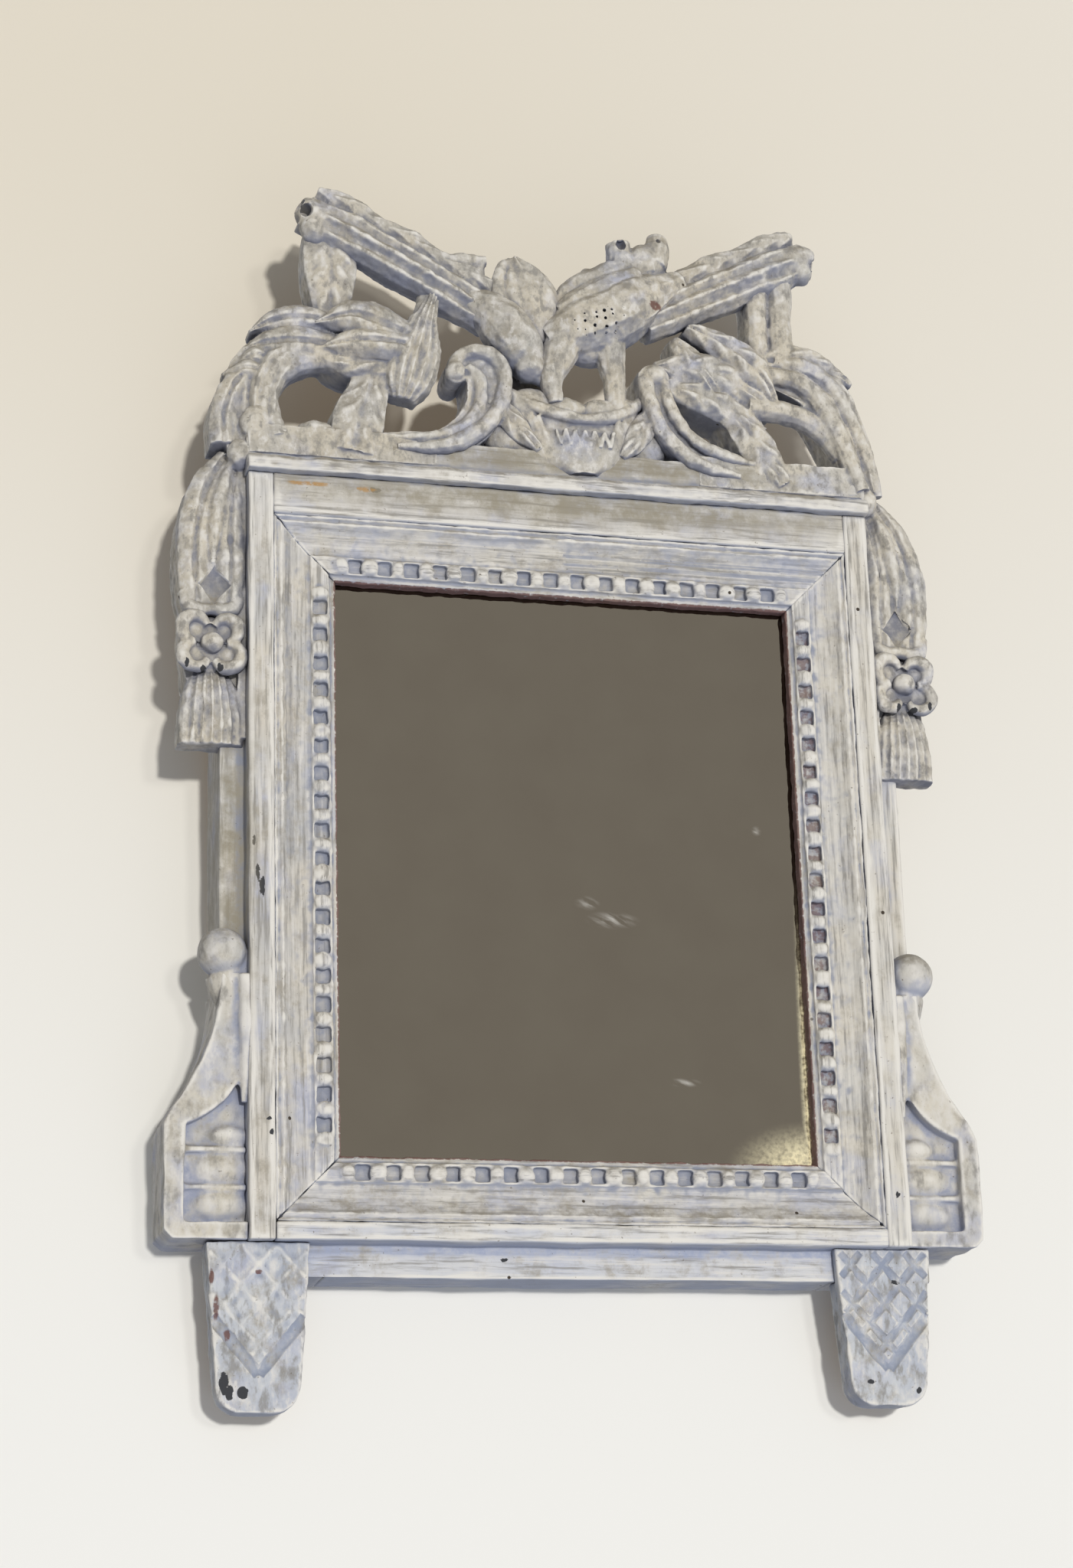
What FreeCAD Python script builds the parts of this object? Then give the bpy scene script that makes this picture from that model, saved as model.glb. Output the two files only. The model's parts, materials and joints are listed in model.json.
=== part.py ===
import FreeCAD, Part
import os
from math import atan2, cos, degrees, hypot, radians, sin

# A carved and painted wall mirror. Millimetres, +Z up, front towards -Y.
# The origin is the hinge of the hanging ring on the back of the top rail.
# A depth is measured forwards from the wall plane that the back lies on.

# Mirror plate and sight opening
sight_w = 228.0
sight_h = 278.0
glass_t = 3.0
glass_cover = 6.0
glass_play = 1.0
backboard_t = 6.0

# Hanging ring, its strap and its two screws
ring_rise = 37.0
hinge_depth = 4.0
ring_wire_r = 1.6
ring_half_w = 12.0
ring_drop = 24.0
ring_corner_r = 3.0
knuckle_wall = 1.4
knuckle_len = 14.0
hinge_play = 0.08
strap_t = 1.5
strap_drop = 30.0
strap_gap = 2.5
pocket_margin = 5.0
screw_r = 1.6
screw_head_r = 3.0
screw_len = 16.0
screw_drops = (8.0, 17.0)
screw_play = 0.05

# Depths of the frame's faces
moulding_seat = 34.5
step_depth = 36.0
face_depth = 48.0

# Widths outwards from the sight edge
moulding_w = 31.0
stile_face_w = 43.0
stile_w = 55.0
top_rail_w = 51.5
bottom_face_w = 39.5
bottom_rail_w = 54.5

# Section of the inner moulding, out from the sight edge and up from its seat
lip_w = 3.2
lip_h = 5.9
lip_round = 1.2
bead_band_w = 9.2
bead_h = 7.9
bead_pitch = 13.9
bead_hole_w = 7.4
bead_hole_sink = 3.4
bead_edge = 1.1
cove_h = 6.7
cove_w = 13.4
cove_rise = 5.4
fillet_w = 1.3
groove_w = 0.9
groove_sink = 1.2
moulding_h = 12.4

# Joints of the frame
tenon_t = 10.0
tenon_back = 10.0
tenon_len = 28.0
tenon_shoulder = 6.0
joint_play = 0.2
peg_r = 3.0
peg_len = 28.0
peg_inset = 9.0
brad_r = 0.8
brad_len = 20.0
brad_grip = 10.0
brads_per_side = 3

# Cornice board under the crest
cornice_h = 23.0
cornice_back = 10.0
cornice_face = 47.0
cornice_lip = 6.0
cornice_lip_h = 8.5
cornice_overhang = 1.0
dowel_r = 4.0
dowel_len = 34.0
dowel_depth = 25.0
dowel_insets = (13.0, 98.0)

# Side brackets with their balls
bracket_h = 122.0
bracket_reach = 38.0
bracket_below_sight = 39.0
bracket_depth = 44.0
bracket_neck = 12.0
bracket_corner = 4.0
bracket_side_h = 52.0
bracket_band = 9.5
bracket_sag = 0.45
panel_sag = 0.35
panel_sink = 7.0
panel_h = 76.0
panel_floor_h = 8.0
ridge_h = 3.0
ridge_heights = (16.0, 33.0)
ball_r = 11.5
ball_depth = 38.0
ball_sink = 1.5
ball_out = 11.0

# Side drops
drop_back = 16.0
drop_front = 45.0
drop_above = 6.0
strand_top_w = 15.0
strand_h = 80.0
strand_w = 32.0
strand_swell = 0.78
tassel_w = 31.0
tassel_top_w = 25.0
tassel_h = 32.0
tassel_inset = 1.5
rosette_r = 17.5
rosette_drop = 13.0
rosette_out = 17.0
rosette_back = 38.0
rosette_front = 46.0
rosette_boss_r = 6.0
rosette_boss_h = 3.0

# Feet
left_foot_h = 75.5
right_foot_h = 72.5
foot_top_w = 47.0
foot_low_w = 38.0
foot_round = 12.0
foot_back = 27.0
foot_front = 41.0
left_foot_out = 38.0
right_foot_out = 30.0
foot_dowel_r = 3.0
foot_dowel_depth = 31.5
foot_dowel_len = 38.0

# Crest carving
quiver_r = 10.5
quiver_mouth_r = 13.0
quiver_end_r = 9.0
quiver_collar = 12.0
quiver_hole_r = 4.0
quiver_hole_len = 9.0
quiver_depth = 36.0
torch_r = 6.0
torch_rise = 15.0
torch_depth = 34.0
scroll_back = 22.0
scroll_front = 45.0
leaf_back = 18.0
plinth_h = 3.5
plinth_front = 44.0
left_plinth = (8.0, 92.0)
right_plinth = (8.0, 72.0)
leaf_shoulder = 0.6
leaf_crown = 0.35
wing_back = 26.0
dove_depth = 37.0
leg_depth = 39.0
nest_depth = 42.0
nest_front = 53.0
nest_taper = 9.0

# Places on the crest: a mouth or a leaf is set in from the cornice's end, the rest
# across from the centre line, and all of them up from the cornice's top
left_mouth = (32.0, 126.0)
left_quiver_end = (-33.0, 75.0)
right_mouth = (20.5, 124.5)
right_quiver_end = (47.0, 79.0)

# Turned forms: a start, an end and a profile of (share of the length, radius)
bent_body = ((-24, 94), (-15, 39), [(0, 3), (0.2, 11), (0.5, 15), (0.8, 12), (0.95, 7), (1, 3)])
bent_tail = ((-42, 83), (-20, 68), [(0, 5), (0.4, 10), (1, 13)])
leaning_body = ((-5, 56), (60, 97), [(0, 4), (0.12, 11), (0.35, 17), (0.65, 15), (1, 9)])
leaning_stub = ((46, 98), (48, 127), [(0, 14), (1, 13)])
leaning_legs = [((1, 62), (-3, 32), [(0, 7), (1, 5)]), ((27, 68), (30, 28), [(0, 7), (1, 4.5)])]

# Leaves: a base, a tip, a width and the depth of the front
raised_wing = ((-10, 62), (-20, 110), 30, 44)
folded_wing = ((2, 80), (68, 108), 26, 44)
left_leaves = [
    ((45, 62), (42, 118), 28, 40), ((54, 62), (5, 59), 19, 40), ((54, 50), (1, 46), 21, 42),
    ((86, 50), (36, 57), 30, 46), ((84, 47), (40, 44), 18, 45), ((92, 82), (85, 15), 28, 47),
    ((13, 54), (-8, -4), 25, 41), ((11, 35), (-13, 19), 14, 38), ((9, 38), (4, -16), 22, 40),
    ((64, 44), (54, -10), 28, 45), ((26, 45), (74, 34), 16, 40),
]
right_leaves = [
    ((44, 62), (41, 118), 26, 40), ((54, 64), (-3, 57), 21, 42), ((32, 67), (-10, 4), 32, 42),
    ((11, 37), (-12, -13), 22, 40), ((110, 42), (42, 50), 36, 46), ((88, 77), (38, 32), 26, 44),
    ((71, 50), (48, -10), 28, 45), ((54, 44), (14, 30), 22, 40),
]

# Outlines: a run of two points is straight and a run of three is an arc
left_scroll_runs = [
    ((-26, 40), (-41, 55), (-57, 40)), ((-57, 40), (-53, 34), (-48, 37)), ((-48, 37), (-50, 20), (-66, 7)),
    ((-66, 7), (-98, 3)), ((-98, 3), (-98, -6)), ((-98, -6), (-60, -7)), ((-60, -7), (-33, 11), (-26, 40)),
]
right_scroll_runs = [
    ((42, 42), (50, 53), (58, 45)), ((58, 45), (59, 23), (86, 6)), ((86, 6), (118, 4)),
    ((118, 4), (118, -5)), ((118, -5), (80, -7)), ((80, -7), (51, 11), (42, 42)),
]
nest_left = (-27.0, 37.0)
nest_sag = (8.0, 15.0)
nest_right = (43.0, 33.0)
nest_right_side = (38.0, 8.0)
nest_foot_right = (24.0, -12.0)
nest_foot_left = (-4.0, -12.0)
nest_left_side = (-22.0, 10.0)

# Levels and edges that follow from the sizes above
sight_x = sight_w / 2
sight_top = -ring_rise
sight_bottom = sight_top - sight_h
sight_z = sight_top - sight_h / 2
rebate = glass_cover + glass_play
moulding_x = sight_x + moulding_w
face_x = sight_x + stile_face_w
stile_x = sight_x + stile_w
frame_top = sight_top + top_rail_w
face_bottom = sight_bottom - bottom_face_w
frame_bottom = sight_bottom - bottom_rail_w
cornice_top = frame_top + cornice_h
cornice_x = face_x + cornice_overhang
bracket_bottom = sight_bottom - bracket_below_sight
bracket_top = bracket_bottom + bracket_h
glass_back = moulding_seat - glass_t
pocket_depth = hinge_depth + ring_wire_r + strap_gap


def vec(x, depth, z):
    return FreeCAD.Vector(x, hinge_depth - depth, z)


def block(x0, x1, d0, d1, z0, z1):
    return Part.makeBox(x1 - x0, d1 - d0, z1 - z0, vec(x0, d1, z0))


def rod(radius, start, end):
    axis = end - start
    return Part.makeCylinder(radius, axis.Length, start, axis)


def outline(edges_or_points, depth=0.0):
    """Closed wire in a plane of one depth; a 3-tuple of points is an arc."""
    edges = []
    for run in edges_or_points:
        ends = [vec(x, depth, z) for x, z in run]
        if len(ends) == 3:
            edges.append(Part.Arc(*ends).toShape())
        else:
            edges.append(Part.LineSegment(*ends).toShape())
    return Part.Wire(edges)


def plate(runs, d0, d1):
    face = Part.Face(outline(runs, d0))
    return face.extrude(FreeCAD.Vector(0, d0 - d1, 0))


def closed_runs(points):
    return [(a, b) for a, b in zip(points, points[1:] + points[:1])]


def bar(section, along, z0, z1):
    """Prism of a section: along Z the section is (x, depth), along X it is (depth, z)."""
    if along == "z":
        corners = [vec(x, d, z0) for x, d in section]
        push = FreeCAD.Vector(0, 0, z1 - z0)
    else:
        corners = [vec(z0, d, z) for d, z in section]
        push = FreeCAD.Vector(z1 - z0, 0, 0)
    face = Part.Face(Part.makePolygon(corners + corners[:1]))
    return face.extrude(push)


def mirrored(shape):
    return shape.mirror(FreeCAD.Vector(0, 0, 0), FreeCAD.Vector(1, 0, 0))


def cut_all(shape, tools):
    for tool in tools:
        shape = shape.cut(tool)
    return shape


def joined(shapes):
    return shapes[0].multiFuse(shapes[1:]).removeSplitter()


def largest(shape):
    """The main lump of a trimmed carving, without crumbs that the trimming leaves."""
    return max(shape.Solids, key=lambda solid: solid.Volume)


def side_tools(shape):
    """The shape and its mirror image, for cutting both sides alike."""
    return [shape, mirrored(shape)]


def tenon_box(side, low, high, play):
    x_in = sight_x + rebate
    x_out = x_in + tenon_len + play
    d0 = tenon_back - play
    d1 = tenon_back + tenon_t + play
    tenon = block(x_in, x_out, d0, d1, low - play, high + play)
    return tenon if side > 0 else mirrored(tenon)


def tenon_spans():
    """Lowest and highest level of the top and bottom tenons."""
    top = (sight_top + rebate + tenon_shoulder, frame_top - tenon_shoulder)
    bottom = (frame_bottom + tenon_shoulder, sight_bottom - rebate - tenon_shoulder)
    return [top, bottom]


def peg_set(radius):
    pegs = []
    x = sight_x + rebate + tenon_len / 2
    for low, high in tenon_spans():
        for z in (low + peg_inset, high - peg_inset):
            peg = rod(radius, vec(x, 0, z), vec(x, peg_len, z))
            pegs += side_tools(peg)
    return pegs


def brad_set(radius):
    depth = glass_back - backboard_t - brad_r
    reach = brad_len - brad_grip
    brads = []
    edge_x = sight_x + rebate
    edge_z = sight_h / 2 + rebate
    for k in range(brads_per_side):
        share = (k + 0.5) / brads_per_side - 0.5
        z = sight_z + share * sight_h
        brad = rod(radius, vec(edge_x - reach, depth, z), vec(edge_x + brad_grip, depth, z))
        brads += side_tools(brad)
        x = share * sight_w
        for way in (1, -1):
            inner = vec(x, depth, sight_z + way * (edge_z - reach))
            outer = vec(x, depth, sight_z + way * (edge_z + brad_grip))
            brads.append(rod(radius, inner, outer))
    return brads


def crest_dowels(radius):
    dowels = []
    for inset in dowel_insets:
        x = cornice_x - inset
        low = vec(x, dowel_depth, frame_top - dowel_len / 2)
        high = vec(x, dowel_depth, frame_top + dowel_len / 2)
        dowels += side_tools(rod(radius, low, high))
    return dowels


def foot_dowels(radius):
    dowels = []
    for x in (-sight_x - left_foot_out, sight_x + right_foot_out):
        low = vec(x, foot_dowel_depth, frame_bottom - foot_dowel_len / 2)
        high = vec(x, foot_dowel_depth, frame_bottom + foot_dowel_len / 2)
        dowels.append(rod(radius, low, high))
    return dowels


def hanger_screws(play):
    screws = []
    strap_face = pocket_depth - strap_t
    for drop in screw_drops:
        head = Part.makeCone(
            screw_head_r + play, screw_r + play, strap_t,
            vec(0, strap_face, -drop), FreeCAD.Vector(0, -1, 0))
        shank = rod(screw_r + play, vec(0, strap_face, -drop), vec(0, strap_face + screw_len, -drop))
        screws.append(head.fuse(shank).removeSplitter())
    return screws


def fastener_holes():
    """Holes of the pegs, brads and dowels, a little wider than what goes in them."""
    slack = joint_play / 2
    holes = peg_set(peg_r + slack) + brad_set(brad_r + slack)
    return holes + crest_dowels(dowel_r + slack) + foot_dowels(foot_dowel_r + slack)


def stile_blank():
    """Right stile before its joints are cut; the face stops short of the lower edge."""
    inner = sight_x + rebate
    section = [
        (inner, 0), (stile_x, 0), (stile_x, step_depth), (face_x, step_depth),
        (face_x, face_depth), (moulding_x, face_depth), (moulding_x, moulding_seat), (inner, moulding_seat),
    ]
    solid = bar(section, "z", frame_bottom, frame_top)
    return solid.cut(block(inner, stile_x, step_depth, face_depth, frame_bottom, face_bottom))


def stile(side):
    solid = stile_blank() if side > 0 else mirrored(stile_blank())
    holes = [tenon_box(side, low, high, joint_play) for low, high in tenon_spans()]
    return cut_all(solid, holes + fastener_holes())


def rail(section, span):
    inner = sight_x + rebate
    back = bar(section, "x", -inner, inner)
    front = bar(section, "x", -moulding_x, moulding_x)
    front = front.common(block(-moulding_x, moulding_x, moulding_seat, face_depth, frame_bottom, frame_top))
    tenons = [tenon_box(side, span[0], span[1], 0.0) for side in (1, -1)]
    return cut_all(joined([back, front] + tenons), fastener_holes())


def hanger_pocket():
    half = ring_half_w + pocket_margin
    return block(-half, half, 0, pocket_depth, -strap_drop, frame_top)


def top_rail():
    section = [
        (0, sight_top + rebate), (0, frame_top), (face_depth, frame_top),
        (face_depth, sight_top + moulding_w), (moulding_seat, sight_top + moulding_w),
        (moulding_seat, sight_top + rebate),
    ]
    solid = rail(section, tenon_spans()[0])
    return cut_all(solid, [hanger_pocket()] + hanger_screws(screw_play))


def bottom_rail():
    section = [
        (0, sight_bottom - rebate), (moulding_seat, sight_bottom - rebate),
        (moulding_seat, sight_bottom - moulding_w), (face_depth, sight_bottom - moulding_w),
        (face_depth, face_bottom), (step_depth, face_bottom), (step_depth, frame_bottom), (0, frame_bottom),
    ]
    return rail(section, tenon_spans()[1])


def moulding_section(x):
    """Closed wire of the moulding's section: lip, bead band, cove, fillets and groove."""
    def at(out, up):
        return vec(x, moulding_seat + up, out)

    bead_in = lip_w
    bead_out = lip_w + bead_band_w
    cove_in = bead_out + fillet_w
    cove_out = cove_in + cove_w
    cove_r = (cove_w ** 2 + cove_rise ** 2) / (2 * cove_rise)
    half_turn = atan2(cove_w, cove_r - cove_rise) / 2
    cove_mid = (cove_in + cove_r * sin(half_turn), cove_h + cove_r * (1 - cos(half_turn)))
    crown = cove_h + cove_rise
    soft = lip_round * (1 - cos(radians(45)))
    lip = Part.Arc(at(0, lip_h - lip_round), at(soft, lip_h - soft), at(lip_round, lip_h)).toShape()
    cove = Part.Arc(at(cove_in, cove_h), at(*cove_mid), at(cove_out, crown)).toShape()
    rise = Part.makePolygon([
        at(lip_round, lip_h), at(bead_in, lip_h), at(bead_in, bead_h), at(bead_out, bead_h),
        at(bead_out, cove_h), at(cove_in, cove_h)])
    groove_in = cove_out + fillet_w
    groove_out = groove_in + groove_w
    back = Part.makePolygon([
        at(cove_out, crown), at(groove_in, crown), at(groove_in, crown - groove_sink),
        at(groove_out, crown - groove_sink), at(groove_out, moulding_h), at(moulding_w, moulding_h),
        at(moulding_w, 0), at(0, 0), at(0, lip_h - lip_round)])
    return Part.Wire([lip] + rise.Edges + cove.Edges + back.Edges)


def moulding(length, turn, x, z):
    """One mitred length, built along X with its sight edge on Z = 0, then turned into place."""
    reach = length / 2 + moulding_w
    face = Part.Face(moulding_section(-reach))
    solid = face.extrude(FreeCAD.Vector(2 * reach, 0, 0))
    mitre = [(-length / 2, 0), (length / 2, 0), (reach, moulding_w), (-reach, moulding_w)]
    solid = solid.common(plate(closed_runs(mitre), 0, face_depth))
    count = int(length // bead_pitch)
    top = moulding_seat + bead_h
    for k in range(count):
        middle = (k - (count - 1) / 2) * bead_pitch
        hole = block(
            middle - bead_hole_w / 2, middle + bead_hole_w / 2, top - bead_hole_sink, top + bead_h,
            lip_w + bead_edge, lip_w + bead_band_w - bead_edge)
        solid = solid.cut(hole)
    solid.rotate(FreeCAD.Vector(0, 0, 0), FreeCAD.Vector(0, 1, 0), turn)
    solid.translate(FreeCAD.Vector(x, 0, z))
    return solid


def glass():
    reach = sight_x + glass_cover
    low = sight_bottom - glass_cover
    return block(-reach, reach, glass_back, moulding_seat, low, sight_top + glass_cover)


def backboard():
    reach = sight_x + glass_cover
    low = sight_bottom - glass_cover
    return block(-reach, reach, glass_back - backboard_t, glass_back, low, sight_top + glass_cover)


def hanging_ring():
    corner_x = ring_half_w - ring_corner_r
    bow_z = ring_half_w - ring_drop
    diag = ring_corner_r * (1 - sin(radians(45)))
    runs = [
        ((-corner_x, 0), (corner_x, 0)),
        ((corner_x, 0), (ring_half_w - diag, -diag), (ring_half_w, -ring_corner_r)),
        ((ring_half_w, -ring_corner_r), (ring_half_w, bow_z)),
        ((ring_half_w, bow_z), (0, -ring_drop), (-ring_half_w, bow_z)),
        ((-ring_half_w, bow_z), (-ring_half_w, -ring_corner_r)),
        ((-ring_half_w, -ring_corner_r), (diag - ring_half_w, -diag), (-corner_x, 0)),
    ]
    path = outline(runs, hinge_depth)
    circle = Part.Circle(vec(0, hinge_depth, 0), FreeCAD.Vector(1, 0, 0), ring_wire_r)
    return path.makePipeShell([Part.Wire([circle.toShape()])], True, False)


def hanger_strap():
    half = knuckle_len / 2
    bore = ring_wire_r + hinge_play
    knuckle = rod(bore + knuckle_wall, vec(-half, hinge_depth, 0), vec(half, hinge_depth, 0))
    tab = block(-half, half, pocket_depth - strap_t, pocket_depth, -strap_drop + pocket_margin, 0)
    root = block(-half, half, hinge_depth, pocket_depth, -bore - knuckle_wall, 0)
    solid = joined([knuckle, tab, root])
    hole = rod(bore, vec(-half, hinge_depth, 0), vec(half, hinge_depth, 0))
    return cut_all(solid, [hole] + hanger_screws(screw_play))


def cornice():
    lip_front = cornice_face + cornice_lip
    nose = cornice_lip / 2
    section = [
        (cornice_back, frame_top), (lip_front, frame_top), (lip_front, frame_top + cornice_lip_h - nose),
        (lip_front - nose, frame_top + cornice_lip_h), (cornice_face, frame_top + cornice_lip_h),
        (cornice_face, cornice_top), (cornice_back, cornice_top),
    ]
    solid = bar(section, "x", -cornice_x, cornice_x)
    return cut_all(solid, crest_dowels(dowel_r + joint_play / 2))


def bracket():
    outer = face_x + bracket_reach
    neck = face_x + bracket_neck
    low = bracket_bottom
    shoulder = low + bracket_side_h
    waist = bracket_top - bracket_corner
    bend = (outer + neck) / 2 - bracket_corner
    runs = [
        ((face_x, low), (outer - bracket_corner, low)),
        ((outer - bracket_corner, low), (outer, low + bracket_corner)),
        ((outer, low + bracket_corner), (outer, shoulder)),
        ((outer, shoulder), (outer - bracket_corner, shoulder + 2 * bracket_corner)),
        ((outer - bracket_corner, shoulder + 2 * bracket_corner),
         (bend, shoulder + bracket_sag * (waist - shoulder)), (neck, waist)),
        ((neck, waist), (neck, bracket_top)),
        ((neck, bracket_top), (face_x, bracket_top)),
        ((face_x, bracket_top), (face_x, low)),
    ]
    solid = plate(runs, 0, bracket_depth)
    floor = bracket_depth - panel_sink
    panel_x = outer - bracket_band
    panel_low = low + panel_floor_h
    apex = panel_low + panel_h
    bow = ((panel_x + face_x) / 2 - bracket_corner, shoulder + panel_sag * (apex - shoulder))
    inside = face_x - bracket_corner
    panel = [
        ((inside, panel_low), (panel_x, panel_low)),
        ((panel_x, panel_low), (panel_x, shoulder)),
        ((panel_x, shoulder), bow, (face_x, apex)),
        ((face_x, apex), (inside, apex)),
        ((inside, apex), (inside, panel_low)),
    ]
    pocket = plate(panel, floor, bracket_depth + panel_sink)
    for height in ridge_heights:
        z = panel_low + height
        ridge = block(inside, outer, floor - ridge_h, floor + ridge_h, z - ridge_h / 2, z + ridge_h / 2)
        pocket = pocket.cut(ridge)
    over = bracket_top + bracket_corner
    behind = block(inside, stile_x, -panel_sink, step_depth, low - bracket_corner, over)
    return cut_all(solid, [pocket, behind])


def ball():
    z = bracket_top + ball_r - ball_sink
    return Part.makeSphere(ball_r, vec(face_x + ball_out, ball_depth, z))


def drop():
    """Folded strands that widen downwards, and the tassel that hangs from them."""
    top = frame_top + drop_above
    low = top - strand_h
    bulge = (face_x + strand_swell * strand_w, top - strand_h / 3)
    outer = (face_x + strand_w, low + strand_h / 5)
    strands = [
        ((face_x, top), (face_x + strand_top_w, top)),
        ((face_x + strand_top_w, top), bulge, outer),
        (outer, (face_x + tassel_top_w, low)),
        ((face_x + tassel_top_w, low), (face_x, low)),
        ((face_x, low), (face_x, top)),
    ]
    tassel_top = low - rosette_drop - rosette_r
    tassel_low = tassel_top - tassel_h
    middle = face_x + tassel_inset + tassel_w / 2
    tassel = closed_runs([
        (middle - tassel_top_w / 2, low), (middle + tassel_top_w / 2, low),
        (middle + tassel_top_w / 2, tassel_top), (middle + tassel_w / 2, tassel_low),
        (middle - tassel_w / 2, tassel_low), (middle - tassel_top_w / 2, tassel_top)])
    return joined([plate(strands, drop_back, drop_front), plate(tassel, drop_back, drop_front)])


def rosette():
    x = face_x + rosette_out
    z = frame_top + drop_above - strand_h - rosette_drop
    disc = rod(rosette_r, vec(x, rosette_back, z), vec(x, rosette_front, z))
    boss_r = (rosette_boss_r ** 2 + rosette_boss_h ** 2) / (2 * rosette_boss_h)
    boss = Part.makeSphere(boss_r, vec(x, rosette_front + rosette_boss_h - boss_r, z))
    crown = face_depth + boss_r
    front = block(x - rosette_r, x + rosette_r, rosette_back, crown, z - rosette_r, z + rosette_r)
    return joined([disc, boss.common(front)])


def foot(x, height):
    """Tapered foot with a rounded end, lapped over the lower edge of the frame."""
    low = face_bottom - height
    half_top = foot_top_w / 2
    half_low = foot_low_w / 2
    waist = low + foot_round
    soft = foot_round * (1 - sin(radians(45)))
    flat = half_low - foot_round
    runs = [
        ((x - half_top, face_bottom), (x + half_top, face_bottom)),
        ((x + half_top, face_bottom), (x + half_low, waist)),
        ((x + half_low, waist), (x + half_low - soft, low + soft), (x + flat, low)),
        ((x + flat, low), (x - flat, low)),
        ((x - flat, low), (x - half_low + soft, low + soft), (x - half_low, waist)),
        ((x - half_low, waist), (x - half_top, face_bottom)),
    ]
    solid = plate(runs, foot_back, foot_front)
    return cut_all(solid, foot_dowels(foot_dowel_r + joint_play / 2))


def spindle(start, end, depth, profile):
    """Turned form about a line in the crest's plane; profile is (share of length, radius)."""
    length = hypot(end[0] - start[0], end[1] - start[1])
    points = [FreeCAD.Vector(r, 0, share * length) for share, r in profile]
    base = FreeCAD.Vector(0, 0, points[0].z)
    tip = FreeCAD.Vector(0, 0, points[-1].z)
    closing = [tip, base] if points[-1].x > 0 else [base]
    ring = [base] + points + closing
    if points[0].x == 0:
        ring = ring[1:]
    face = Part.Face(Part.makePolygon(ring))
    solid = face.revolve(FreeCAD.Vector(0, 0, 0), FreeCAD.Vector(0, 0, 1), 360)
    lean = degrees(atan2(end[0] - start[0], end[1] - start[1]))
    solid.rotate(FreeCAD.Vector(0, 0, 0), FreeCAD.Vector(0, 1, 0), lean)
    solid.translate(vec(start[0], depth, start[1]))
    return solid


def on_crest(x, up):
    """A point of the crest: across from the centre line, up from the cornice's top."""
    return (x, cornice_top + up)


def from_end(side, inset, up):
    """A point of a leaf spray: in from the cornice's end, up from the cornice's top."""
    return (side * (cornice_x - inset), cornice_top + up)


def lens(base, tip, width, trim, depth):
    """Leaf-shaped wire of two arcs, shortened by trim at both ends."""
    length = hypot(tip[0] - base[0], tip[1] - base[1])
    along = ((tip[0] - base[0]) / length, (tip[1] - base[1]) / length)
    first = (base[0] + along[0] * trim, base[1] + along[1] * trim)
    last = (tip[0] - along[0] * trim, tip[1] - along[1] * trim)
    middle = ((base[0] + tip[0]) / 2, (base[1] + tip[1]) / 2)
    aside = (-along[1] * width / 2, along[0] * width / 2)
    one = (middle[0] + aside[0], middle[1] + aside[1])
    two = (middle[0] - aside[0], middle[1] - aside[1])
    return outline([(first, one, last), (last, two, first)], depth)


def leaf(base, tip, width, front, back=leaf_back):
    """Carved leaf with a flat back, upright edges and a crown along its middle."""
    rise = front - back
    shoulder = back + leaf_shoulder * rise
    crown_trim = width * (1 - leaf_crown) / 2
    wires = [
        lens(base, tip, width, 0.0, back),
        lens(base, tip, width, 0.0, shoulder),
        lens(base, tip, width * leaf_crown, crown_trim, front),
    ]
    return Part.makeLoft(wires, True, True)


def quiver(mouth, inner):
    """Tapered quiver with a flared, hollow mouth, and a torch lying along its upper side."""
    length = hypot(inner[0] - mouth[0], inner[1] - mouth[1])
    collar = quiver_collar / length
    body = spindle(mouth, inner, quiver_depth, [
        (0, quiver_mouth_r), (collar / 2, quiver_mouth_r), (collar, quiver_r), (1, quiver_end_r)])
    along = ((inner[0] - mouth[0]) / length, (inner[1] - mouth[1]) / length)
    upward = torch_rise if along[0] > 0 else -torch_rise
    aside = (-along[1] * upward, along[0] * upward)
    start = (mouth[0] + aside[0] + along[0] * torch_r, mouth[1] + aside[1] + along[1] * torch_r)
    end = (inner[0] + aside[0], inner[1] + aside[1])
    torch = spindle(start, end, torch_depth, [(0, torch_r), (1, torch_r)])
    bottom = (mouth[0] + along[0] * quiver_hole_len, mouth[1] + along[1] * quiver_hole_len)
    hole = spindle(mouth, bottom, quiver_depth, [(0, quiver_hole_r), (1, quiver_hole_r)])
    return joined([body, torch]).cut(hole)


def left_quiver():
    return quiver(from_end(-1, *left_mouth), on_crest(*left_quiver_end))


def right_quiver():
    return quiver(from_end(1, *right_mouth), on_crest(*right_quiver_end))


def turned(form, depth):
    start, end, profile = form
    return spindle(on_crest(*start), on_crest(*end), depth, profile)


def wing(form):
    base, tip, width, front = form
    return leaf(on_crest(*base), on_crest(*tip), width, front, wing_back)


def left_dove():
    """Dove bent down to the nest, one wing raised."""
    return joined([turned(bent_body, dove_depth), wing(raised_wing), turned(bent_tail, dove_depth)])


def right_dove():
    """Dove leaning over the nest on two short legs, with a stub of its broken tail."""
    legs = [turned(leg, leg_depth) for leg in leaning_legs]
    main = [turned(leaning_body, dove_depth), wing(folded_wing), turned(leaning_stub, dove_depth)]
    return joined(main + legs)


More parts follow.
